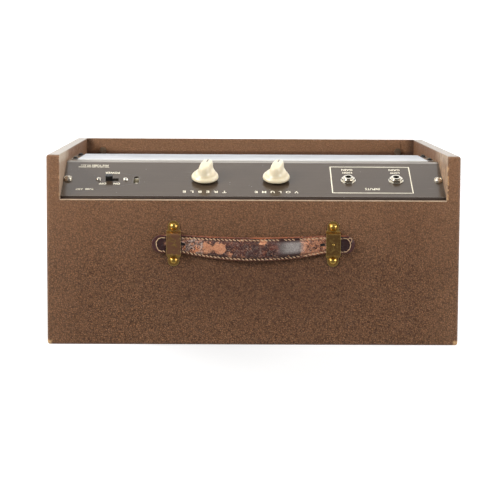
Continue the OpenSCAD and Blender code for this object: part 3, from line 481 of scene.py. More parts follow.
def leather():
    """Dark red-brown strap, worn where its attributes say so."""
    mat = Shader("leather_strap")
    along, across, inset = mat.attribute("strap")
    wear, crackle, red = mat.attribute("worn")
    big = mat.noise(70, detail=4, warp=0.5)
    pores = mat.cells(900)
    cracks = mat.cells(330, mat.stretch((0.55, 1.0, 1.0)), edges=True)
    small_cracks = mat.cells(760, edges=True)
    fine = mat.noise(900, detail=4, rough=0.7)
    mat.colour = big.fit(0.32, 0.7).mix((34, 15, 14), (52, 26, 22))
    grain = mat.noise(520, detail=4, rough=0.7, warp=0.8)
    mat.paint(grain.fit(0.52, 0.66, to=(0, 0.30)), (104, 66, 54))
    # red finish showing
    reddish = mat.noise(150, detail=4, rough=0.7, warp=0.8)
    mat.paint(red * reddish.fit(0.44, 0.62, to=(0, 0.85)), (106, 54, 40))
    # crackled finish, grey and tan flecks
    flecks = mat.noise(430, detail=4, rough=0.8, warp=1.2)
    flecks = flecks + small_cracks * 0.35 + (crackle - 1.0) * 0.12
    flecks = crackle.fit(0.0, 0.75) * flecks.fit(0.505, 0.565)
    tan = mat.noise(190, warp=0.6).fit(0.44, 0.56).mix((208, 134, 92), (172, 150, 136))
    other_tan = grain.fit(0.42, 0.60).mix((204, 134, 92), (176, 132, 108))
    mat.paint(flecks * 0.92, along.fit(30, 45).mix(tan, other_tan))
    # finish worn away: ragged pale patches
    worn = wear + (mat.noise(420, detail=6, rough=0.85, warp=1.6) - 0.5) * 2.3
    worn = worn + (mat.noise(150, rough=0.65, warp=1.0) - 0.5) * 2.1
    worn = worn.fit(0.62, 0.68)
    bare = mat.noise(300, detail=4, rough=0.7).fit(0.35, 0.65)
    bare = bare.mix((196, 142, 106), (164, 106, 76))
    mat.paint(worn, small_cracks.fit(0.06, 0.0, to=(0, 0.6)).mix(bare, (110, 66, 48)))
    # thin dark cracks
    cracked = cracks.fit(0.035, 0.0)
    mat.paint(cracked * big.fit(0.3, 0.6, to=(0.15, 0.7)), (38, 22, 18))
    # painted highlight on the grip: a glossy reflection with the grain showing through
    grip_glare = along.fit(20, 40, smooth=True) * along.fit(57, 45, smooth=True)
    grip_glare = grip_glare * abs(across - 0.6).fit(8.0, 2.5, smooth=True)
    sheen = mat.noise(620, detail=4, rough=0.7, warp=0.8) + small_cracks * 0.7
    grip_glare = grip_glare * sheen.fit(0.42, 0.70, to=(0.45, 1))
    mat.paint(grip_glare * 0.54, (190, 184, 178))
    # raw cut edge, and a darker line inside the stitches; both wider at the back
    ragged = inset + (mat.noise(240, detail=4, rough=0.75) - 0.5) * 2.2
    raw = ragged.fit(across.fit(-2, 2, to=(0.8, 1.25)), across.fit(-2, 2, to=(0.3, 0.6)),
                     to=(0, 0.80))
    raw = raw * abs(along).fit(100, 95, to=(0.1, 1))
    cut = across.fit(-2, 2).mix((112, 66, 46), (164, 94, 58))
    mat.paint(raw, mat.noise(60, rough=0.7).fit(0.40, 0.58).mix(cut, (92, 52, 38)))
    groove = abs(inset - across.fit(-2, 2, to=(3.4, 4.6))).fit(0.0, 0.6, to=(1, 0), smooth=True)
    mat.paint(groove * 0.5 * abs(along).fit(96, 92), (44, 26, 21))
    tab = abs(along).fit(90, 94)
    mat.paint(tab * (0.7 - raw * 0.7), inset.fit(2.4, 3.4).mix((70, 36, 34), (46, 24, 24)))

    def slit(start, end, half=1.3):
        ends = along.fit(start - 0.3, start + 0.2) * along.fit(end + 0.3, end - 0.2)
        return ends * abs(across).fit(half + 0.3, half - 0.2)

    # two slits at the ends of the padding, painted near black as the shade inside them
    slits = slit(-75.2, -71.3).max(slit(69.9, 74.9))
    mat.paint(slits, (14, 9, 8))
    rough = worn.lerp(big.fit(0.3, 0.7, to=(0.24, 0.40)), 0.75)
    height = fine * 0.35 + pores * 0.25 + ((worn + flecks) * -0.5 + cracked * -0.6)
    mat.finish(flecks.lerp(rough, 0.6), height + slits * -4.0, depth=0.00045, strength=0.7,
               Specular_IOR_Level=0.36, Coat_Weight=(1.0 - worn) * 0.12, Coat_Roughness=0.22)


def thread(name, pale, dark):
    mat = Shader(name)
    fibres = mat.noise(1400, rough=0.7, warp=0.6)
    mat.colour = fibres.fit(0.35, 0.65).mix(pale, dark)
    mat.paint(mat.noise(85).fit(0.5, 0.75, to=(0, 0.5)), shade(dark, 0.45))
    mat.finish(rough=fibres.fit(0.3, 0.7, to=(0.7, 0.95)), height=fibres, depth=0.0002,
               strength=0.8, Sheen_Weight=0.3)


def brass():
    """Handle loops, more tarnished on top of the bridges."""
    mat = Shader("aged_brass")
    blotch = mat.noise(120, detail=5, rough=0.7, warp=0.6)
    fine = mat.noise(900, detail=4, rough=0.7)
    x, _, z = mat.xyz()
    mat.colour = blotch.fit(0.35, 0.7).mix((206, 168, 98), (166, 128, 70))
    mat.paint(fine.fit(0.55, 0.72, to=(0, 0.5)), (92, 66, 38))
    blot = mat.noise(150, detail=4, rough=0.7, warp=0.8)
    bridge = z.fit((TOP + 6.0) * MM, (TOP + 8.5) * MM) * 1.0
    tarnish = (blot + bridge * 0.16).fit(0.5, 0.66, to=(0, 0.85))
    mat.paint(tarnish, x.fit(-0.01, 0.01).mix((150, 104, 84), (118, 88, 54)))
    # painted highlight along the edges
    mat.paint(mat.edge(0.0008) * 0.9, (250, 222, 140))
    mat.finish(rough=tarnish.lerp(blotch.fit(0.3, 0.7, to=(0.22, 0.36)), 0.42),
               height=fine + blot * 0.6, depth=0.00014, strength=0.6, metal=1.0)


def cloth():
    """Basket weave of two yarns, with a metallic fleck."""
    mat = Shader("grille_weave")
    x, _, z = mat.xyz()
    pitch = 0.0024
    wave_x = x.wave(pitch)
    wave_z = z.wave(pitch)
    over = (wave_x * wave_z).fit(-0.05, 0.05)
    yarn = mat.noise(1.0, rough=0.7, warp=0.3, at=mat.stretch((2600, 400, 240)))
    cross_yarn = mat.noise(1.0, rough=0.7, warp=0.3, at=mat.stretch((240, 400, 2600)))
    mat.colour = over.mix(yarn.fit(0.3, 0.7).mix((150, 122, 84), (112, 86, 56)),
                          cross_yarn.fit(0.3, 0.7).mix((96, 72, 48), (62, 46, 32)))
    gap = abs(wave_x).max(abs(wave_z)).fit(0.30, 0.10)
    mat.paint(gap * 0.9, (16, 12, 10))
    fleck = x.wave(6 * pitch).fit(0.93, 0.97) * (1.0 - over)
    mat.paint(fleck * 0.8, (206, 178, 112))
    dust = mat.noise(7, detail=4, warp=0.4)
    mat.paint(dust.fit(0.45, 0.75, to=(0, 0.3)), (104, 88, 66))
    mat.finish(rough=fleck.lerp(0.85, 0.35),
               height=abs(wave_x) + abs(wave_z) - gap * 1.4 + yarn * 0.3,
               depth=0.0004, strength=0.9, metal=fleck * 0.8, Sheen_Weight=0.25)


def glass():
    """Tube envelopes with a silvered patch near the lower end."""
    mat = Shader("tube_glass")
    x, _, z = mat.xyz()
    ripple = mat.noise(70)
    smear = mat.noise(160, detail=4, rough=0.7).fit(0.4, 0.7, to=(0.02, 0.16))
    mat.colour = ripple.fit(0.3, 0.7).mix((0.93, 0.96, 0.95, 1), (0.86, 0.9, 0.88, 1))
    patch = mat.noise(90)
    # the patch sits higher in the two small tubes around x = 85 mm
    limit = abs(x - 0.085).fit(0.030, 0.031, to=(0.1405, 0.1085))
    silver = (z + (patch - 0.5) * 0.012).fit(limit, limit - 0.003)
    mat.paint(silver, patch.fit(0.4, 0.6).mix((0.34, 0.33, 0.33, 1), (0.62, 0.6, 0.58, 1)))
    mat.finish(rough=smear + silver * 0.1, height=ripple, depth=0.0002, strength=0.2,
               metal=silver, Transmission_Weight=1.0 - silver, IOR=1.45)


def laminations():
    mat = Shader("lamination_stack")
    sheets = mat.xyz()[1].wave(0.0009)
    rust = mat.noise(130, detail=5, rough=0.7, warp=0.6)
    mat.colour = sheets.fit(-0.4, 0.6).mix((66, 63, 60), (112, 108, 103))
    mat.paint(rust.fit(0.54, 0.7, to=(0, 0.7)), (110, 66, 40))
    mat.finish(rough=rust.fit(0.3, 0.7, to=(0.38, 0.7)), height=sheets + rust * 1.5,
               depth=0.00018, strength=0.8, metal=0.8)


def windings():
    mat = Shader("coil_wrap")
    layers = mat.xyz()[2].wave(0.0042)
    paper = mat.noise(170, detail=4, rough=0.7, warp=0.5)
    mat.colour = paper.fit(0.3, 0.7).mix((190, 156, 96), (150, 112, 62))
    mat.paint(layers.fit(0.86, 0.97), (96, 66, 36))
    mat.finish(rough=0.62, height=paper + layers.fit(0.8, 1.0) * -2, depth=0.0003, strength=0.7)


def component_paint():
    """Each component in its own colour, with bands."""
    mat = Shader("component_bodies")
    x, _, z = mat.xyz()
    index = ((x + 0.11) * (1 / 0.0157)).math("FLOOR")
    chance = mat.node("ShaderNodeTexWhiteNoise", {"W": index}, "Value", noise_dimensions="1D")
    mat.colour = mat.steps(chance, [(0.0, (186, 92, 40)), (0.3, (198, 170, 60)),
                                    (0.55, (120, 76, 52)), (0.8, (60, 84, 120))])
    mat.paint(z.wave(0.006).fit(0.7, 0.8) * 0.7,
              mat.steps((chance * 7.3).math("FRACT"), [(0, (30, 26, 24)), (0.5, (210, 190, 60))]))
    mat.finish(rough=0.4, height=mat.noise(900, rough=0.55), depth=0.0001, strength=0.5)


def cone_paper():
    """Ribbed in rings round the speaker axis."""
    mat = Shader("cone_paper")
    x, _, z = mat.xyz()
    axis = SPEAKER_Z * MM
    ribs = (x * x + (z - axis) * (z - axis)).math("SQRT").wave(0.009)
    fibres = mat.noise(520, detail=5, rough=0.75, warp=1.0)
    mat.colour = fibres.fit(0.3, 0.7).mix((58, 50, 44), (36, 31, 28))
    mat.paint(mat.noise(20, detail=4, rough=0.55).fit(0.5, 0.8, to=(0, 0.4)), (88, 76, 64))
    mat.finish(rough=0.85, height=ribs * 0.9 + fibres, depth=0.0005, strength=0.8,
               Sheen_Weight=0.2)


def fabric(name, pale, dark, pitch=0.0011):
    """Diagonal weave."""
    mat = Shader(name)
    x, _, z = mat.xyz()
    weave = (x + z).wave(pitch) * (x - z).wave(pitch)
    mat.colour = weave.fit(-0.5, 0.5).mix(pale, dark)
    dust = mat.noise(60, detail=4, rough=0.55)
    mat.paint(dust.fit(0.5, 0.75, to=(0, 0.5)), shade(dark, 0.5))
    mat.finish(rough=0.8, height=weave, depth=0.0002, strength=0.7, Sheen_Weight=0.2)


def rubber(name, colour, rough=0.7):
    mat = Shader(name)
    fine = mat.noise(1100, detail=4, rough=0.7)
    mid = mat.noise(50, detail=4, rough=0.65, warp=0.3)
    mat.vary(colour, scale=30, amount=0.6, dark=0.7, light=1.6)
    mat.paint(mid.fit(0.5, 0.75, to=(0, 0.45)), (92, 84, 76))
    mat.finish(rough=mid.fit(0.3, 0.7, to=(rough * 0.8, min(1, rough * 1.2))),
               height=fine + mid, depth=0.00015, strength=0.6)


METALS = {
    "rusted_zinc": dict(colour=(150, 132, 112), rough=0.46, stain=0.8,
                        stain_colour=(104, 68, 46), blotch_scale=300),
    "back_plate_alloy": dict(colour=(168, 170, 174), rough=0.42, brushed=(14, 900, 900),
                             stain=0.10, stain_colour=(190, 192, 196), pits=0.05,
                             blotch_scale=9, top=TOP - 83),
    "chassis_alloy": dict(colour=(196, 197, 198), rough=0.42, brushed=(900, 60, 60),
                          stain=0.25, stain_colour=(150, 148, 144)),
    "nickel_plate": dict(colour=(222, 216, 202), rough=0.16, stain=0.35,
                         stain_colour=(128, 112, 84), edge=0.4, pits=0.35),
    "cup_washer_plate": dict(colour=(226, 216, 198), rough=0.18, stain=0.4,
                             stain_colour=(150, 124, 92), edge=0.3),
    "blackened_steel": dict(colour=(58, 54, 50), rough=0.34, stain_colour=(36, 32, 30),
                            edge=0.4),
    "brass_screw": dict(colour=(190, 154, 80), rough=0.25, stain=0.55,
                        stain_colour=(112, 80, 42), edge=0.3, pits=0.35, blotch_scale=160),
    "anode_metal": dict(colour=(92, 92, 92), rough=0.5, stain=0.4, stain_colour=(50, 48, 46)),
    "capacitor_can": dict(colour=(190, 191, 192), brushed=(300, 300, 30),
                          stain_colour=(140, 136, 128)),
    "magnet_cover": dict(colour=(150, 152, 154), rough=0.36, stain=0.35,
                         stain_colour=(96, 92, 88)),
    "coil_copper": dict(colour=(190, 116, 66), rough=0.35, brushed=(60, 2200, 60)),
    "bright_steel": dict(colour=(200, 199, 196), rough=0.25, edge=0.3),
}
PLASTICS = {
    "cream_print": dict(colour=(238, 229, 205), rough=0.55, depth=0.00002,
                        dirt=(180, 168, 140), dirt_amount=0.25),
    "black_plastic": dict(colour=(24, 22, 21), rough=0.36, dirt=(70, 64, 58),
                          dirt_amount=0.35),
    "lamp_lens": dict(colour=(240, 230, 205), rough=0.25, dirt=(200, 180, 140)),
    "phenolic": dict(colour=(74, 48, 32), rough=0.42, depth=0.0001, dirt=(40, 26, 18),
                     dirt_amount=0.6),
    "tube_base_brown": dict(colour=(50, 34, 26), rough=0.3, depth=0.0001, dirt=(90, 76, 62),
                            dirt_amount=0.4),
    "board_phenolic": dict(colour=(150, 108, 60), rough=0.5, depth=0.0001, dirt=(96, 64, 34),
                           dirt_amount=0.6),
}
for name, look in METALS.items():
    metal(name, **look)
for name, look in PLASTICS.items():
    plastic(name, **look)
for build_material in (vinyl, panel_paint, knob_plastic, leather, brass, cloth, glass,
                       laminations, windings, component_paint, cone_paper):
    build_material()
UPRIGHT_GRAIN = (46, 46, 3)
plywood("plywood_boards")
plywood("plywood_sides", light=0.97, grain=UPRIGHT_GRAIN)
plywood("baffle_wood", light=0.86)
# cleat wood darkened as painted shade, where it shows in the gaps beside the panel
plywood("cleat_wood_shaded", light=0.66, grain=UPRIGHT_GRAIN)
painted("flange_bare", (144, 138, 131), rough=0.5, scratch=0.45, grain=900, depth=0.00008)
painted("transformer_enamel", (30, 29, 28), rough=0.4, scratch=0.4, grain=700, depth=0.00018)
painted("basket_enamel", (54, 55, 56), rough=0.42, scratch=0.35, grain=900, depth=0.00015)
# painted shade: dark sheet for the gap under the top board's rear edge
fabric("gap_shade_sheet", (60, 48, 38), (44, 34, 27))
fabric("surround_cloth", (44, 40, 38), (26, 24, 23))
fabric("spider_cloth", (198, 156, 92), (150, 108, 54))
thread("cream_thread", (208, 178, 140), (172, 132, 94))
thread("piping_cord", (214, 200, 166), (158, 138, 100))
rubber("foot_rubber", (30, 29, 28))
rubber("red_wire", (150, 44, 30), rough=0.5)
rubber("cord_rubber", (58, 42, 34), rough=0.55)


# ---------------------------------------------------------------- mesh helpers
def build(name, mesh, material, body, stands=(), smooth=True, attributes=None):
    """Object from (vertices in mm, faces) that moves with `body`; `stands` are the CAD
    nodes it replaces, `attributes` are vectors per vertex."""
    verts, faces = mesh
    data = bpy.data.meshes.new(name)
    data.from_pydata((np.array(verts, float) * MM).tolist(), [], [list(f) for f in faces])
    data.update()
    for key, vectors in (attributes or {}).items():
        layer = data.attributes.new(key, "FLOAT_VECTOR", "POINT")
        layer.data.foreach_set("vector", np.array(vectors, np.float32).ravel())
    ob = bpy.data.objects.new(name, data)
    bpy.context.scene.collection.objects.link(ob)
    data.materials.append(MATERIALS[material])
    data.polygons.foreach_set("use_smooth", [smooth] * len(data.polygons))
    outward = bmesh.new()
    outward.from_mesh(data)
    bmesh.ops.recalc_face_normals(outward, faces=outward.faces)
    outward.to_mesh(data)
    outward.free()
    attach(ob, body)
    if stands:
        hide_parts(*stands)
    return ob


def grid(rings, sides, closed_ring=False, closed_path=False):
    """Quads between successive rings of vertices."""
    faces = []
    for i in range(rings if closed_path else rings - 1):
        here, there = i * sides, (i + 1) % rings * sides
        for j in range(sides if closed_ring else sides - 1):
            k = (j + 1) % sides
            faces.append((here + j, there + j, there + k, here + k))
    return faces


def capped(rings, sides):
    """Closed rings with a face over each end."""
    last = (rings - 1) * sides
    ends = [tuple(range(sides)), tuple(range(last, last + sides))]
    return grid(rings, sides, closed_ring=True) + ends


def join(parts):
    """One mesh from several (vertices, faces)."""
    verts, faces = [], []
    for part_verts, part_faces in parts:
        start = len(verts)
        verts += part_verts
        faces += [tuple(start + i for i in face) for face in part_faces]
    return verts, faces


def frames(points, closed):
    """Position and two side vectors at each point of a path."""
    points = [Vector(p) for p in points]
    count = len(points)
    tangents = []
    for i in range(count):
        before = points[(i - 1) % count] if closed else points[max(0, i - 1)]
        after = points[(i + 1) % count] if closed else points[min(count - 1, i + 1)]
        tangents.append((after - before).normalized())
    side = tangents[0].orthogonal().normalized()
    result = []
    for point, tangent in zip(points, tangents):
        side = (side - tangent * side.dot(tangent)).normalized()
        result.append((point, side, tangent.cross(side)))
    return result


def sweep(points, radius, sides, closed=False):
    """Tube along a path; radius is a number or a function of arc length and angle."""
    path = frames(points, closed)
    verts, length = [], 0.0
    for i, (point, side, other) in enumerate(path):
        if i:
            length += (point - path[i - 1][0]).length
        for j in range(sides):
            angle = 2 * math.pi * j / sides
            r = radius(length, angle) if callable(radius) else radius
            verts.append(point + side * (math.cos(angle) * r) + other * (math.sin(angle) * r))
    count = len(path)
    return verts, grid(count, sides, True, True) if closed else capped(count, sides)


def catmull_rom(points, i, t):
    """Point at t on the span after points[i]."""
    last = len(points) - 1
    a, b, c, d = (points[min(max(k, 0), last)] for k in range(i - 1, i + 3))
    return 0.5 * ((2 * b) + (c - a) * t + (2 * a - 5 * b + 4 * c - d) * t * t
                  + (3 * b - a - 3 * c + d) * t ** 3)


def spline(points, steps):
    points = [Vector(p) for p in points]
    curve = [catmull_rom(points, i, k / steps)
             for i in range(len(points) - 1) for k in range(steps)]
    return curve + [points[-1]]


def smooth_by_angle():
    """Node group: smooth faces, sharp edges above 32 degrees."""
    group = bpy.data.node_groups.new("smooth_by_angle", "GeometryNodeTree")
    for direction in ("INPUT", "OUTPUT"):
        group.interface.new_socket("Geometry", in_out=direction,
                                   socket_type="NodeSocketGeometry")
    source = group.nodes.new("NodeGroupInput")
    result = group.nodes.new("NodeGroupOutput")
    faces = group.nodes.new("GeometryNodeSetShadeSmooth")
    edges = group.nodes.new("GeometryNodeSetShadeSmooth")
    faces.domain, edges.domain = "FACE", "EDGE"
    faces.inputs["Shade Smooth"].default_value = True
    edges.inputs["Shade Smooth"].default_value = False
    angle = group.nodes.new("GeometryNodeInputMeshEdgeAngle")
    sharp = group.nodes.new("FunctionNodeCompare")
    sharp.data_type, sharp.operation = "FLOAT", "GREATER_THAN"
    sharp.inputs[1].default_value = math.radians(32)
    group.links.new(source.outputs[0], faces.inputs[0])
    group.links.new(angle.outputs[0], sharp.inputs[0])
    group.links.new(faces.outputs[0], edges.inputs[0])
    group.links.new(sharp.outputs[0], edges.inputs["Selection"])
    group.links.new(edges.outputs[0], result.inputs[0])
    return group


SMOOTH = smooth_by_angle()


def add_smooth(ob):
    ob.modifiers.new("smooth", "NODES").node_group = SMOOTH


def add_bevel(ob, width, segments, angle):
    """Bevels edges sharper than angle, in degrees."""
    bevel = ob.modifiers.new("bevel", "BEVEL")
    bevel.width = width * MM
    bevel.segments = segments
    bevel.limit_method = "ANGLE"
    bevel.angle_limit = math.radians(angle)
    return bevel


def add_thickness(ob, thickness, offset):
    solid = ob.modifiers.new("thick", "SOLIDIFY")
    solid.thickness = thickness * MM
    solid.offset = offset
    return solid


def soften(ob, width):
    """Weld, bevel, smooth by angle, weighted normals."""
    ob.modifiers.new("weld", "WELD").merge_threshold = 2e-6
    if width:
        bevel = add_bevel(ob, width, segments=2, angle=38)
        bevel.use_clamp_overlap = True
        bevel.miter_outer = "MITER_ARC"
    add_smooth(ob)
    ob.modifiers.new("weighted", "WEIGHTED_NORMAL").keep_sharp = True


# ---------------------------------------------------------------- finishes of the CAD nodes
# material, bevel width in mm, slot, nodes
FINISHES = (
    ("plywood_boards", 0.3, "plywood", "cabinet_top cabinet_bottom"),
    ("plywood_sides", 0.3, "plywood", "cabinet_side_left cabinet_side_right"),
    ("vinyl", 0.3, "vinyl", "vinyl_covering"),
    ("baffle_wood", 0.4, "plywood", "speaker_baffle"),
    ("cleat_wood_shaded", 0.7, "plywood", "cabinet_cleats"),
    ("foot_rubber", 0.9, "rubber_black", "rubber_feet"),
    ("rusted_zinc", 0.25, "zinc", "foot_bolts"),
    ("brass_screw", 0.15, "brass", "handle_screws"),
    ("panel_paint", 0.22, "panel_paint", "control_panel"),
    ("cup_washer_plate", 0.12, "nickel", "panel_screws"),
    ("cup_washer_plate", 0.1, "nickel", "cup_washers"),
    ("chassis_alloy", 0.3, "aluminium", "chassis_pan"),
    ("back_plate_alloy", 0.25, "aluminium", "back_plate"),
    ("blackened_steel", 0.15, "black_steel", "back_plate_screws"),
    ("nickel_plate", 0.2, "nickel", "volume_pot tone_pot"),
    ("bright_steel", 0.2, "shaft_metal", "volume_shaft tone_shaft"),
    ("nickel_plate", 0.2, "nickel", "pot_nuts"),
    ("nickel_plate", 0.25, "nickel", "input_jack_inner input_jack_outer jack_nuts"),
    ("nickel_plate", 0.12, "nickel", "jack_washers"),
    ("nickel_plate", 0.15, "nickel", "power_switch"),
    ("black_plastic", 0.3, "black_plastic", "switch_slider"),
    ("nickel_plate", 0.12, "nickel", "switch_screws"),
    ("lamp_lens", 0.2, "lamp_glass", "pilot_lamp"),
    ("nickel_plate", 0.2, "nickel", "lamp_holder"),
    ("lamination_stack", 0.3, "core_steel", "mains_transformer_core"),
    ("transformer_enamel", 2.2, "black_steel", "mains_transformer_cover"),
    ("lamination_stack", 0.3, "core_steel", "output_transformer_core"),
    ("coil_wrap", 1.6, "winding", "output_transformer_coil"),
    ("capacitor_can", 0.8, "aluminium", "filter_capacitor"),
    ("phenolic", 0.4, "phenolic", "tube_sockets"),
    ("tube_base_brown", 0.6, "phenolic", "octal_tube_bases"),
    ("tube_glass", 0.0, "tube_glass", "power_tube_glass rectifier_glass preamp_tube_glass"),
    ("anode_metal", 0.3, "tube_metal", "tube_plates"),
    ("board_phenolic", 0.2, "board", "component_board"),
    ("component_bodies", 0.4, "components", "board_components"),
    ("basket_enamel", 0.4, "black_steel", "speaker_frame"),
    ("magnet_cover", 1.2, "magnet", "speaker_magnet"),
    ("cone_paper", 0.0, "cone_paper", "speaker_cone"),
    ("surround_cloth", 0.0, "cone_edge", "speaker_surround"),
    ("cone_paper", 0.0, "cone_paper", "speaker_dust_cap"),
    ("spider_cloth", 0.0, "spider_cloth", "speaker_spider"),
    ("coil_copper", 0.0, "copper", "voice_coil"),
    ("rusted_zinc", 0.3, "zinc", "speaker_screws"),
    ("cord_rubber", 0.6, "cord", "power_cord"),
)
for material, bevel_width, slot, names in FINISHES:
    for node_name in names.split():
        part = NODES[node_name]
        part.data.materials.clear()
        part.data.materials.append(MATERIALS[material])
        soften(part, bevel_width)


# ---------------------------------------------------------------- leather handle
# In plan: x along the strap, v across it from its centre line, towards the back.
STRAP_HALF = 106.0
TAB_HALF = 9.6                          # half width near the ends
END_X = STRAP_HALF - 10.07              # centre of each rounded end
END_RADIUS = 9.7

# worn patches: x from, x to, v from, v to, strength
WORN = (
    (-52.9, -43.7, 4.9, -6.1, 1.0), (-40.9, -29.6, 5.6, -4.9, 1.0),
    (-26.8, -21.1, -3.3, -10, 0.9), (6.3, 14.1, 10.8, 5.2, 1.0),
    (-49, -34, 3.5, -3.5, 0.95), (-56, -48, 1, -4, 0.7), (-58, -50, -2, -8, 0.5),
    (-14, -8, -9, -6.5, 0.6), (-18, -9, 7.5, 10.5, 0.62), (52, 57, 4, -2, 0.55),
    (60, 66, -1, -6, 0.55), (-66, -61, 5, -1, 0.55), (20, 25, -8, -5.5, 0.6),
    (34, 40, -9, -7, 0.5), (88, 92, 3, -3, 0.45), (-95, -88, 4, -2, 0.5),
)


def belly(x):
    return max(0.0, 1 - (x / 75.0) ** 2)


def half_width(x):
    share = abs(x) / STRAP_HALF
    if share > 0.905:
        return TAB_HALF * math.sqrt(max(0.0, 1 - ((share - 0.905) / 0.095) ** 2))
    return TAB_HALF + 2.8 * belly(x)


def bow(x):
    """y of the centre line, which bows forward between the loops."""
    return LOOP_Y - 0.45 - 5.1 * belly(x)


def margin(v):
    """Stitch line to outline: wider on the back edge."""
    return 1.9 + 1.1 * ease((v + 3.0) / 6.0)


FRONT_MARGIN, BACK_MARGIN = margin(-5), margin(5)


def lift(x):
    """Underside above the cabinet."""
    return 0.35 + 2.6 * ease(1 - abs(x) / 74.0)


def strap_top(x, v):
    """Upper face above the cabinet: base, padding, stitch groove and a slight unevenness."""
    width = max(half_width(x), 0.01)
    inset = width - abs(v)
    if abs(x) > END_X:
        inset = min(inset, END_RADIUS - math.hypot(abs(x) - END_X, v))
    seam = inset - margin(v)
    rise = ease((seam - 0.7) / 3.6)
    padding = 3.0 * ease((66.5 - abs(x)) / 12.0)
    crown = math.sqrt(max(0.0, 1 - (v / (width + 2.0)) ** 2))
    groove = 0.40 * math.exp(-(seam / 0.7) ** 2) * (1 - ease((abs(x) - 92) / 4))
    flat = 0.30 * ease((seam - 0.6) / 1.8)
    uneven = 0.10 * math.sin(x * 0.31 + v * 0.22) + 0.07 * math.sin(x * 0.83 - v * 0.5)
    return (lift(x) + 3.2 + flat + padding * rise * (0.35 + 0.65 * crown) - groove
            + uneven * rise)


TOP_STEPS = 30


def strap_section(x, width):
    """Closed (v, height) outline: across the top, +v edge, underside, -v edge."""
    corner = min(1.15, width * 0.5)
    flat = width - corner
    top_v = [-flat + 2 * flat * j / TOP_STEPS for j in range(TOP_STEPS + 1)]
    high, low = strap_top(x, flat), lift(x)
    edge = [(flat + corner * math.sin(math.radians(a)),
             high - corner + corner * math.cos(math.radians(a))) for a in (20, 45, 70, 90)]
    edge += [(width, (high + low) / 2 - 0.2), (width - 0.45, low + 0.25)]
    under = width - 1.0
    return ([(v, strap_top(x, v)) for v in top_v] + edge
            + [(under - 2 * under * j / 4, low) for j in range(5)]
            + [(-v, z) for v, z in reversed(edge)])


def wear_at(x, v, width):
    """Wear, crackle and redness of the upper face."""
    wear = 0.0
    for x0, x1, v0, v1, strength in WORN:
        from_x = abs((x - (x0 + x1) / 2) / (abs(x1 - x0) / 2))
        from_v = abs((v - (v0 + v1) / 2) / (abs(v1 - v0) / 2))
        distance = (from_x ** 2.6 + from_v ** 2.6) ** (1 / 2.6)
        wear = max(wear, strength * max(0.0, 1.42 - 0.8 * distance))
    crackle = max(band(x, -78, -50, 4, 4) * (1 if abs(v) < width - 2.5 else 0.3),
                  band(x, 46, 80, 6, 5),
                  0.35 * band(x, -54, 30, 6, 6))
    red = max(0.9 * band(x, 4, 29, 5, 5) * (1 if v < 4 else 0.4),
              0.8 * band(x, 48, 92, 8, 5),
              0.5 * band(x, -60, 2, 6, 10))
    return wear, crackle, red


def strap():
    steps = 236
    stations = []
    for i in range(steps + 1):
        t = -1 + 2 * i / steps          # stations crowd towards the ends
        stations.append(STRAP_HALF * (0.35 * math.sin(t * math.pi / 2) + 0.65 * t))
    stations[0], stations[-1] = -STRAP_HALF + 0.05, STRAP_HALF - 0.05
    verts, places, wears = [], [], []
    for x in stations:
        width = max(half_width(x), 0.55)
        section = strap_section(x, width)
        for k, (v, z) in enumerate(section):
            verts.append((x, bow(x) + v, TOP + z))
            if k > TOP_STEPS:
                places.append((x, v, 0.0))
                wears.append((0.15, 0.0, 0.3))
                continue
            inset = width - abs(v)
            if STRAP_HALF - abs(x) < 10:
                inset = END_RADIUS - math.hypot(abs(x) - END_X, v)
            places.append((x, v, max(0.0, inset)))
            wears.append(wear_at(x, v, width))
    build("strap_leather", (verts, capped(len(stations), len(section))), "leather_strap",
          "handle", ("leather_handle",), attributes={"strap": places, "worn": wears})


def stitch_line():
    """Closed plan line of the seam."""
    def end_arc(centre, first, last):
        arc = []
        for degrees in np.linspace(first, last, 60)[1:-1]:
            share = ease(abs(degrees + 90) / 180)
            radius = TAB_HALF - (FRONT_MARGIN + (BACK_MARGIN - FRONT_MARGIN) * share)
            angle = math.radians(degrees)
            arc.append((centre + 5.5 * math.cos(angle), radius * math.sin(angle)))
        return arc

    stations = np.linspace(-END_X, END_X, 400)
    return ([(x, half_width(x) - BACK_MARGIN) for x in stations]
            + end_arc(END_X, 90, -90)
            + [(x, FRONT_MARGIN - half_width(x)) for x in stations[::-1]]
            + end_arc(-END_X, -90, -270))


def stitch(start, end, radius, sides=7, flatness=0.75):
    """Plump stitch whose ends dip into the leather."""
    start, end = Vector(start), Vector(end)
    along = (end - start).normalized()
    side = along.cross(Vector((0, 0, 1))).normalized()
    up = side.cross(along).normalized()
    length = (end - start).length
    rings = ((-radius * 0.85, 0.35), (-radius * 0.45, 0.8), (0.1 * length, 1.0),
             (0.5 * length, 1.08), (0.9 * length, 1.0),
             (length + radius * 0.45, 0.8), (length + radius * 0.85, 0.35))
    verts = []
    for at, swell in rings:
        share = min(max(at / length, 0), 1)
        dip = -0.55 * abs(2 * share - 1) ** 2.5 * radius
        for j in range(sides):
            angle = 2 * math.pi * j / sides
            verts.append(start + along * at + side * (math.cos(angle) * radius * swell)
                         + up * (math.sin(angle) * radius * swell * flatness + dip))
    return verts, capped(len(rings), sides)


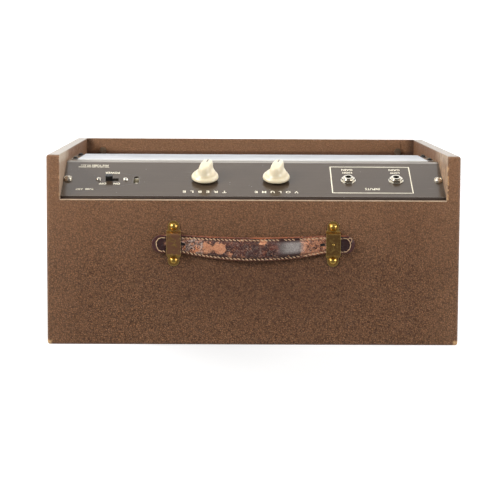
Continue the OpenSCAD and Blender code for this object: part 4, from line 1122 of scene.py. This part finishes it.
def stitches():
    line = stitch_line()
    line = np.array(line + line[:1])
    lengths = [0.0]
    for a, b in zip(line, line[1:]):
        lengths.append(lengths[-1] + math.hypot(b[0] - a[0], b[1] - a[1]))
    total = lengths[-1]

    def at(length):
        length %= total
        return np.interp(length, lengths, line[:, 0]), np.interp(length, lengths, line[:, 1])

    def on_strap(x, v):
        return x, bow(x) + v, TOP + strap_top(x, v) + 0.30

    parts = []
    count = round(total / 4.1)
    for i in range(count):
        begin = total * i / count
        jitter = RANDOM.normal(0, 0.10, 4)
        # start and end along the pitch, and the slant: straighter on the end tabs
        first, last, slant = (0.35, 3.75, 0.08) if abs(at(begin)[0]) > 92 else (0.9, 3.2, 0.62)
        x0, v0 = at(begin + first)
        x1, v1 = at(begin + last)
        length = math.hypot(x1 - x0, v1 - v0)
        slant_x, slant_v = -(v1 - v0) / length * slant, (x1 - x0) / length * slant
        if RANDOM.random() < 0.06:      # a missing stitch here and there
            continue
        parts.append(stitch(on_strap(x0 + slant_x + jitter[0], v0 + slant_v + jitter[1]),
                            on_strap(x1 - slant_x + jitter[2], v1 - slant_v + jitter[3]),
                            0.46 + 0.05 * RANDOM.random()))
    build("strap_stitches", join(parts), "cream_thread", "handle")


def loose_thread():
    """Loose end by the +x loop: x, v from the centre line, height."""
    points = ((98.6, 5.0, 3.9), (99.4, 6.4, 4.8), (100.8, 7.2, 4.9), (102.4, 6.4, 4.4),
              (102.7, 4.4, 4.3), (101.9, 2.6, 4.2))
    path = spline([(x, bow(99) + v, TOP + z) for x, v, z in points], 7)
    build("strap_loose_thread", sweep(path, 0.33, 7), "cream_thread", "handle")


strap()
stitches()
loose_thread()


# ---------------------------------------------------------------- brass loops
LOOP_SHEET = 1.2
BRIDGE_HALF = 12.0
BRIDGE_RISE = 8.8                       # underside of the bridge


def loop_half_width(from_centre):
    """Half width at a distance along y: bridge, narrower foot, round end."""
    if from_centre > 18.1:
        return math.sqrt(max(0.0, 5.85 ** 2 - (from_centre - 18.15) ** 2)) + 0.05
    if from_centre > 12.6:
        return (5.9 + 1.2 * ease((15.0 - from_centre) / 1.8)
                + 0.4 * ease((13.2 - from_centre) / 0.6))
    return 7.5


def loop(name, centre, node_name):
    """Sheet bent into a bridge with two feet, symmetric about its middle."""
    foot, crest = LOOP_SHEET / 2, BRIDGE_RISE + LOOP_SHEET / 2
    bend = -BRIDGE_HALF
    rise = [(-24, foot), (bend - 1.4, foot), (bend - 0.35, foot + 0.25),
            (bend + 0.1, foot + 1.3), (bend + 0.95, BRIDGE_RISE - 1.3),
            (bend + 1.5, crest - 0.35), (bend + 2.7, crest)]
    profile = rise + [(0, crest)] + [(-y, z) for y, z in reversed(rise)]
    path = []
    for a, b in zip(profile, profile[1:]):
        steps = max(1, int(round(math.hypot(b[0] - a[0], b[1] - a[1]) / 0.55)))
        for i in range(steps):
            path.append((a[0] + (b[0] - a[0]) * i / steps, a[1] + (b[1] - a[1]) * i / steps))
    path.append(profile[-1])
    across = 22
    verts = []
    for y, z in path:
        half = loop_half_width(abs(y))
        for j in range(across + 1):
            x = -half + 2 * half * j / across
            dent = 0.0
            if z > BRIDGE_RISE:         # dimple with a raised rim, and a slight crown
                radius = math.hypot(x, y)
                dent -= 0.34 * math.exp(-(radius / 1.3) ** 2)
                dent += 0.12 * math.exp(-((radius - 2.0) / 0.5) ** 2)
                dent += 0.10 * math.cos(x / 7.5 * 1.4)
            dent += 0.05 * math.sin(x * 0.9 + y * 0.6 + centre)
            sink = 0.05 if abs(y) > 14 else 0
            verts.append((centre + x, LOOP_Y + y, TOP + z + dent - sink))
    ob = build(name, (verts, grid(len(path), across + 1)), "aged_brass", "cabinet",
               (node_name,))
    add_thickness(ob, LOOP_SHEET, offset=0).use_even_offset = True
    add_bevel(ob, 0.32, segments=3, angle=50)
    add_smooth(ob)


def rivet(name, centre, radius, height, seg=20):
    """Small rivet in the middle of a bridge."""
    profile = ((0.02, height), (radius * 0.5, height * 0.93), (radius * 0.85, height * 0.62),
               (radius, height * 0.2), (radius * 1.02, -0.3), (0.02, -0.3))
    verts = []
    for r, z in profile:
        for j in range(seg):
            angle = 2 * math.pi * j / seg
            verts.append((centre + r * math.cos(angle), LOOP_Y + r * math.sin(angle),
                          TOP + 9.95 + z))
    build(name, (verts, capped(len(profile), seg)), "brass_screw", "cabinet")


loop("loop_left", -LOOP_X, "handle_loop_left")
loop("loop_right", LOOP_X, "handle_loop_right")
rivet("loop_right_rivet", LOOP_X, radius=1.15, height=0.75)


# ---------------------------------------------------------------- knobs
# height, half width, reach towards the tip, reach behind, roundness exponent of the tip side
KNOB_LEVELS = (
    (0.0, 13.4, 13.4, 13.4, 2), (0.05, 13.9, 13.9, 13.9, 2), (0.35, 14.25, 14.25, 14.25, 2),
    (1.2, 14.3, 14.3, 14.3, 2), (2.3, 14.1, 14.1, 14.1, 2), (3.3, 13.5, 13.6, 13.5, 2),
    (4.2, 12.5, 13.5, 12.7, 2), (5.2, 11.0, 14.0, 11.9, 2.1), (6.3, 9.4, 15.0, 11.3, 2.3),
    (7.6, 8.2, 16.2, 10.9, 2.6), (9.2, 7.3, 17.5, 10.5, 2.9), (11.0, 6.8, 18.3, 10.0, 3.3),
    (12.8, 6.3, 18.6, 9.3, 3.6), (14.2, 5.6, 18.3, 8.4, 3.7), (15.0, 4.7, 17.5, 7.1, 3.5),
    (15.35, 3.3, 15.9, 5.2, 3.0), (15.45, 1.4, 12.6, 2.4, 2.4),
)
KNOB_REST = math.radians(12)            # pointer turned from straight down the slope


def knob_levels():
    """Levels interpolated without overshoot."""
    levels = [np.array(level, float) for level in KNOB_LEVELS]
    dense = []
    for i, (below, above) in enumerate(zip(levels, levels[1:])):
        steps = 5 if above[0] - below[0] > 0.9 else 3
        for k in range(steps):
            dense.append(np.clip(catmull_rom(levels, i, k / steps),
                                 np.minimum(below, above), np.maximum(below, above)))
    return dense + [levels[-1]]


def knob(name, centre, node_name, body, seg=112):
    """Pointer knob: round skirt and a beak."""
    levels = knob_levels()
    verts, places = [], []
    for height, half, tip_reach, rear_reach, exponent in levels:
        for j in range(seg):
            angle = 2 * math.pi * j / seg
            cos, sin = math.cos(angle), math.sin(angle)
            reach, power = (tip_reach, exponent) if sin > 0 else (rear_reach, 2.0)
            across = half * math.copysign(abs(cos) ** (2 / power), cos)
            along = reach * math.copysign(abs(sin) ** (2 / power), sin)
            # the ridge of the beak sinks a little towards the tip
            up = height - 1.9 * ease((along - 2) / 16) * ease((height - 5) / 9)
            # finger scallops on both cheeks
            scallop = math.exp(-((along - 6) / 8.0) ** 2) * band(height, 5.5, 15.2, 3, 2)
            across *= 1 - 0.12 * scallop
            places.append((across, along, up))
            x = across * math.cos(KNOB_REST) + along * math.sin(KNOB_REST)
            down = -across * math.sin(KNOB_REST) + along * math.cos(KNOB_REST)
            verts.append(on_panel(centre + x, KNOB_ROW + down, 3.0 + up))
    build(name, (verts, capped(len(levels), seg)), "knob_ivory", body, (node_name,),
          attributes={"knob": places})


knob("volume_knob_body", VOLUME_X, "volume_knob", "volume")
knob("tone_knob_body", TREBLE_X, "tone_knob", "tone")


# ---------------------------------------------------------------- printing on the panel
def printed_bar(x0, x1, down0, down1):
    corners = ((x0, down0), (x1, down0), (x1, down1), (x0, down1))
    verts = [on_panel(x, down, out) for out in (0.01, 0.07) for x, down in corners]
    walls = [(i, (i + 1) % 4, 4 + (i + 1) % 4, 4 + i) for i in range(4)]
    return verts, [(0, 1, 2, 3), (4, 5, 6, 7)] + walls


def input_frame(x0=82.7, x1=168.5, down0=12.5, down1=74.6, line=1.05):
    """Printed frame round the input jacks."""
    bars = (printed_bar(x0, x1, down0, down0 + line),
            printed_bar(x0, x1, down1 - line, down1),
            printed_bar(x0, x0 + line, down0 + line, down1 - line),
            printed_bar(x1 - line, x1, down0 + line, down1 - line))
    build("panel_input_frame", join(bars), "cream_print", "cabinet", smooth=False)


HIGH_X, LOW_X = 101.1, 152.0            # the two inputs
# text, x of the centre, middle down the slope, cap height, width, letter spacing
LETTERING = (
    ("VOLUME", VOLUME_X, 14.2, 4.6, 46, 2.2), ("TREBLE", TREBLE_X, 14.2, 4.6, 46, 2.2),
    ("HIGH", HIGH_X, 60.0, 4.0, 10.2, 1.05), ("GAIN", HIGH_X, 67.0, 4.0, 12.0, 1.05),
    ("LOW", LOW_X, 60.0, 4.0, 10.2, 1.05), ("GAIN", LOW_X, 67.0, 4.0, 12.0, 1.05),
    ("INPUTS", 125.6, 22.0, 4.6, 15.4, 1.1), ("TUBE  AMP", -177.5, 19.1, 3.6, 19.0, 1.15),
    ("ON", -144.6, 32.1, 4.0, 6.8, 1.05), ("OFF", -159.5, 32.1, 4.0, 7.8, 1.05),
    ("POWER", -150.6, 57.6, 4.6, 15.2, 1.05),
    ("TWO INPUTS AND ONE SPEAKER", -171.5, 71.6, 2.6, 33.0, 1.1),
    ("FIVE TUBES IN ALL", -171.0, 75.5, 2.6, 30.0, 1.1),
)


def text_mesh(text, cap_height, spacing):
    """Temporary text object turned into a mesh."""
    curve = bpy.data.curves.new("text", "FONT")
    curve.body = text
    curve.align_x = "CENTER"
    curve.align_y = "CENTER"
    curve.size = cap_height / 0.70 * MM
    curve.space_character = spacing
    curve.offset = 0.10 * MM
    curve.extrude = 0.03 * MM
    curve.resolution_u = 3
    ob = bpy.data.objects.new("text", curve)
    bpy.context.scene.collection.objects.link(ob)
    bpy.context.view_layer.update()
    evaluated = ob.evaluated_get(bpy.context.evaluated_depsgraph_get())
    mesh = bpy.data.meshes.new_from_object(evaluated)
    points = np.array([vert.co for vert in mesh.vertices]) / MM
    faces = [tuple(face.vertices) for face in mesh.polygons]
    bpy.data.objects.remove(ob)
    bpy.data.curves.remove(curve)
    bpy.data.meshes.remove(mesh)
    return points, faces


def lettering():
    """Texts fitted to their width and cap height; they read from the back."""
    parts = []
    for text, x, down, cap_height, width, spacing in LETTERING:
        points, faces = text_mesh(text, cap_height, spacing)
        low, high = points.min(0), points.max(0)
        middle = (low + high) / 2
        scale_x, scale_y = width / (high[0] - low[0]), cap_height / (high[1] - low[1])
        verts = [on_panel(x - (p[0] - middle[0]) * scale_x,
                          down - (p[1] - middle[1]) * scale_y, 0.04 + p[2]) for p in points]
        parts.append((verts, faces))
    build("panel_lettering", join(parts), "cream_print", "cabinet", smooth=False)


input_frame()
lettering()


# ---------------------------------------------------------------- grille cloth and piping
def grille(steps_x=250, steps_z=206):
    """Cloth that dips over the speaker hole and puckers by its edge."""
    low, high = (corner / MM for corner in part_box("grille_cloth"))
    verts = []
    for i in range(steps_x + 1):
        x = low.x + (high.x - low.x) * i / steps_x
        for k in range(steps_z + 1):
            z = low.z + (high.z - low.z) * k / steps_z
            inset = min(x - low.x, high.x - x, z - low.z, high.z - z)
            y = low.y + 0.1 + 0.35 * ease((118 - math.hypot(x, z - SPEAKER_Z)) / 16)
            pucker = 0.10 * math.exp(-inset / 12)
            y += pucker * (math.sin(x * 0.47) + math.sin(z * 0.52))
            y += 0.10 * math.sin(x * 2.618) * math.sin(z * 2.618)
            verts.append((x, y, z))
    ob = build("grille_weave", (verts, grid(steps_x + 1, steps_z + 1)), "grille_weave",
               "cabinet", ("grille_cloth",))
    add_thickness(ob, 0.3, offset=-1)


def piping():
    """Three-strand cord round the grille."""
    half, low, high, y, radius = 199.3, 28.7, 357.3, -90.1, 7.0
    corners = ((half - radius, low + radius, -90), (half - radius, high - radius, 0),
               (radius - half, high - radius, 90), (radius - half, low + radius, 180))
    points = []
    for x, z, first in corners:
        for k in range(9):
            angle = math.radians(first + 90 * k / 8)
            points.append(Vector((x + radius * math.cos(angle), y,
                                  z + radius * math.sin(angle))))
    path = []
    for a, b in zip(points, points[1:] + points[:1]):
        steps = max(1, int((b - a).length / 1.0))
        path += [a + (b - a) * i / steps for i in range(steps)]

    def strands(length, angle):
        return 1.78 + 0.36 * abs(math.cos(1.5 * angle + 2 * math.pi * length / 9.0))

    build("grille_cord", sweep(path, strands, 14, closed=True), "piping_cord", "cabinet",
          ("grille_piping",))


grille()
piping()


# ---------------------------------------------------------------- small details
def speaker_leads():
    """Two wires that sag between the ends of the CAD wires."""
    low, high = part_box("speaker_wires")
    start, end = low.y / MM, high.y / MM
    # distance from the middle plane, y, z
    points = ((9, start + 0.2, 262), (7.5, start + 12, 257), (5, (start + end) / 2, 248),
              (8, end - 14, 257), (9, end - 6, 261.8), (9, end, 262))
    wires = [sweep(spline([(side * x, y, z) for x, y, z in points], 9), 1.2, 12)
             for side in BOTH]
    build("speaker_leads", join(wires), "red_wire", "cabinet", ("speaker_wires",))


def lap(start, end, normal, width=1.6, thickness=0.35):
    """Low wavy strip."""
    start, end, normal = Vector(start), Vector(end), Vector(normal)
    side = (end - start).normalized().cross(normal).normalized()
    steps = max(2, int((end - start).length / 3))
    edge, shoulder = width / 2, width / 2 - 0.25
    section = ((-edge, 0.0), (-shoulder, thickness * 0.8), (0, thickness),
               (shoulder, thickness * 0.8), (edge, 0.0))
    verts = []
    for i in range(steps + 1):
        point = start + (end - start) * i / steps
        wobble = 0.25 * math.sin(i * 1.7) + 0.15 * math.sin(i * 0.6)
        verts += [point + side * (across + wobble) + normal * up for across, up in section]
    return verts, grid(steps + 1, len(section))


def vinyl_laps():
    """Laps of the covering on the inner side walls and on the floor near them."""
    rear = BACK - 1.5
    parts = []
    for side in BOTH:
        wall = side * (INNER_SIDE - 0.02)
        parts.append(lap((wall, 54.6, TOP - 73), (wall, rear, TOP - 73), (-side, 0, 0)))
        x, z = side * (INNER_SIDE - 17), INNER_FLOOR + 0.02
        parts.append(lap((x, 40.2, z), (x, rear, z), (0, 0, 1)))
    build("vinyl_laps", join(parts), "vinyl", "cabinet")


TUBE_Y = 56
TUBE_TOP = 158.95                       # top of the three large tubes


def tube_ring(x, z, radius, count, wire):
    """Level wire ring."""
    points = [(x + radius * math.cos(angle), TUBE_Y + radius * math.sin(angle), z)
              for angle in np.linspace(0, 2 * math.pi, count + 1)[:-1]]
    return sweep(points, wire, 8, closed=True)


def tube_fittings():
    """Pressed ribs on the plates of the large tubes, and a ring in every tube."""
    rib = ((-8.2, 0.1), (-7, 0.7), (0, 0.8), (7, 0.7), (8.2, 0.1))   # x, bulge
    parts = []
    for tube_x, length in ((-46, 66), (-4, 62), (38, 62)):
        for k in range(5):
            z = TUBE_TOP - 14 - k * 7
            for side in BOTH:
                points = [(tube_x + x, TUBE_Y + side * 6.0 + side * bulge, z)
                          for x, bulge in rib]
                parts.append(sweep(spline(points, 4), 0.5, 8))
        parts.append(tube_ring(tube_x, TUBE_TOP - length + 12.5, 4.2, 28, 0.45))
    for tube_x in (72, 98):
        parts.append(tube_ring(tube_x, 178.9 - 38, 2.8, 24, 0.35))
    build("tube_inner_fittings", join(parts), "anode_metal", "cabinet")


def chassis_lip():
    """Bare flange between the panel's bend and the back plate."""
    section = ((87.25, 293.75), (87.62, 293.45), (88.05, 292.75), (88.42, 291.9),
               (88.62, 291.2), (88.66, 289.5), (88.1, 289.4), (87.9, 291.2),
               (87.5, 292.3), (87.0, 293.0))                          # y, z
    stations = [-201.2 + 402.4 * i / 120 for i in range(121)]
    verts = [(x, y - 0.03 + 0.03 * math.sin(x * 0.21), z + 0.04 * math.sin(x * 0.13 + 1))
             for x in stations for y, z in section]
    build("chassis_lip", (verts, capped(len(stations), len(section))), "flange_bare",
          "cabinet")


def gap_shade_strip():
    """Dark strip of painted shade in the gap under the top board's rear edge, its upper side
    fuzzy.
    """
    section = ((53.45, 367.9), (54.2, 368.15), (55.2, 367.9), (56.1, 367.3),
               (56.1, 365.6), (53.45, 365.6))                         # y, z
    stations = [-201.0 + 402.0 * i / 200 for i in range(201)]
    verts = [(x, y, z + (RANDOM.normal(0, 0.07) if j < 4 else 0))
             for x in stations for j, (y, z) in enumerate(section)]
    build("gap_shade_strip", (verts, capped(len(stations), len(section))), "gap_shade_sheet", "cabinet")


speaker_leads()
vinyl_laps()
tube_fittings()
chassis_lip()
gap_shade_strip()


# ---------------------------------------------------------------- floor, world, lights, camera
def floor(half=6.0, grey=0.62, glow=0.62):
    """White floor that glows a little."""
    mesh = bpy.data.meshes.new("floor")
    mesh.from_pydata([(-half, -half, 0), (half, -half, 0), (half, half, 0), (-half, half, 0)],
                     [], [(0, 1, 2, 3)])
    ob = bpy.data.objects.new("floor", mesh)
    bpy.context.scene.collection.objects.link(ob)
    material = bpy.data.materials.new("floor_white")
    tree = fresh_tree(material)
    output = tree.nodes.new("ShaderNodeOutputMaterial")
    diffuse = tree.nodes.new("ShaderNodeBsdfDiffuse")
    diffuse.inputs["Color"].default_value = (grey, grey, grey, 1)
    emission = tree.nodes.new("ShaderNodeEmission")
    emission.inputs["Color"].default_value = (1, 1, 1, 1)
    emission.inputs["Strength"].default_value = glow
    both = tree.nodes.new("ShaderNodeAddShader")
    tree.links.new(diffuse.outputs[0], both.inputs[0])
    tree.links.new(emission.outputs[0], both.inputs[1])
    tree.links.new(both.outputs[0], output.inputs[0])
    mesh.materials.append(material)


def world():
    """White at the horizon, darker overhead."""
    studio = bpy.data.worlds.new("studio")
    bpy.context.scene.world = studio
    tree = fresh_tree(studio)
    output = tree.nodes.new("ShaderNodeOutputWorld")
    background = tree.nodes.new("ShaderNodeBackground")
    direction = tree.nodes.new("ShaderNodeTexCoord")
    split = tree.nodes.new("ShaderNodeSeparateXYZ")
    ramp = tree.nodes.new("ShaderNodeValToRGB")
    tree.links.new(direction.outputs["Generated"], split.inputs[0])
    tree.links.new(split.outputs[2], ramp.inputs[0])
    stops = ramp.color_ramp.elements
    stops[0].position, stops[0].color = 0.0, (1.0, 1.0, 1.0, 1)
    stops[1].position, stops[1].color = 0.30, (0.62, 0.62, 0.62, 1)
    stops.new(0.80).color = (0.25, 0.25, 0.26, 1)
    tree.links.new(ramp.outputs[0], background.inputs["Color"])
    background.inputs["Strength"].default_value = 1.0
    tree.links.new(background.outputs[0], output.inputs[0])


def area_light(name, place, target, size, power, glossy=True):
    """Rectangular light; size is width and height in m, power in W."""
    light = bpy.data.lights.new(name, "AREA")
    light.shape = "RECTANGLE"
    light.size, light.size_y = size
    light.energy = power
    ob = bpy.data.objects.new(name, light)
    bpy.context.scene.collection.objects.link(ob)
    ob.location = place
    aim = Vector(target) - Vector(place)
    ob.rotation_euler = aim.to_track_quat("-Z", "Y").to_euler()
    if not glossy:
        ob.visible_glossy = False


def camera():
    """Long lens looking down from above the back."""
    data = bpy.data.cameras.new("photo_camera")
    data.lens = 127.08
    data.sensor_width = 36
    data.clip_start, data.clip_end = 0.05, 50
    ob = bpy.data.objects.new("photo_camera", data)
    bpy.context.scene.collection.objects.link(ob)
    axes = Matrix(((0.999937, 0.005367, 0.009807),      # rows: right, up, backwards
                   (-0.004257, 0.993930, -0.109927),
                   (-0.010337, 0.109878, 0.993891)))
    place = Vector((-0.02254, 0.20357, 2.20849))
    ob.matrix_world = Matrix.Translation(place) @ axes.transposed().to_4x4()
    bpy.context.scene.camera = ob


floor()
world()
area_light("key_back", (0.15, 1.9, 2.0), target=(0, 0, 0.3), size=(1.3, 0.8), power=25,
           glossy=False)
area_light("soft_left", (-1.75, 1.0, 1.35), target=(0, 0, 0.35), size=(1.0, 1.1), power=48)
area_light("soft_right", (2.1, 0.5, 1.1), target=(0, 0, 0.35), size=(0.7, 1.1), power=28)
area_light("front_fill", (0.0, -2.6, 1.1), target=(0, 0, 0.2), size=(1.8, 1.8), power=22,
           glossy=False)
camera()
bpy.context.scene.view_settings.view_transform = "Standard"
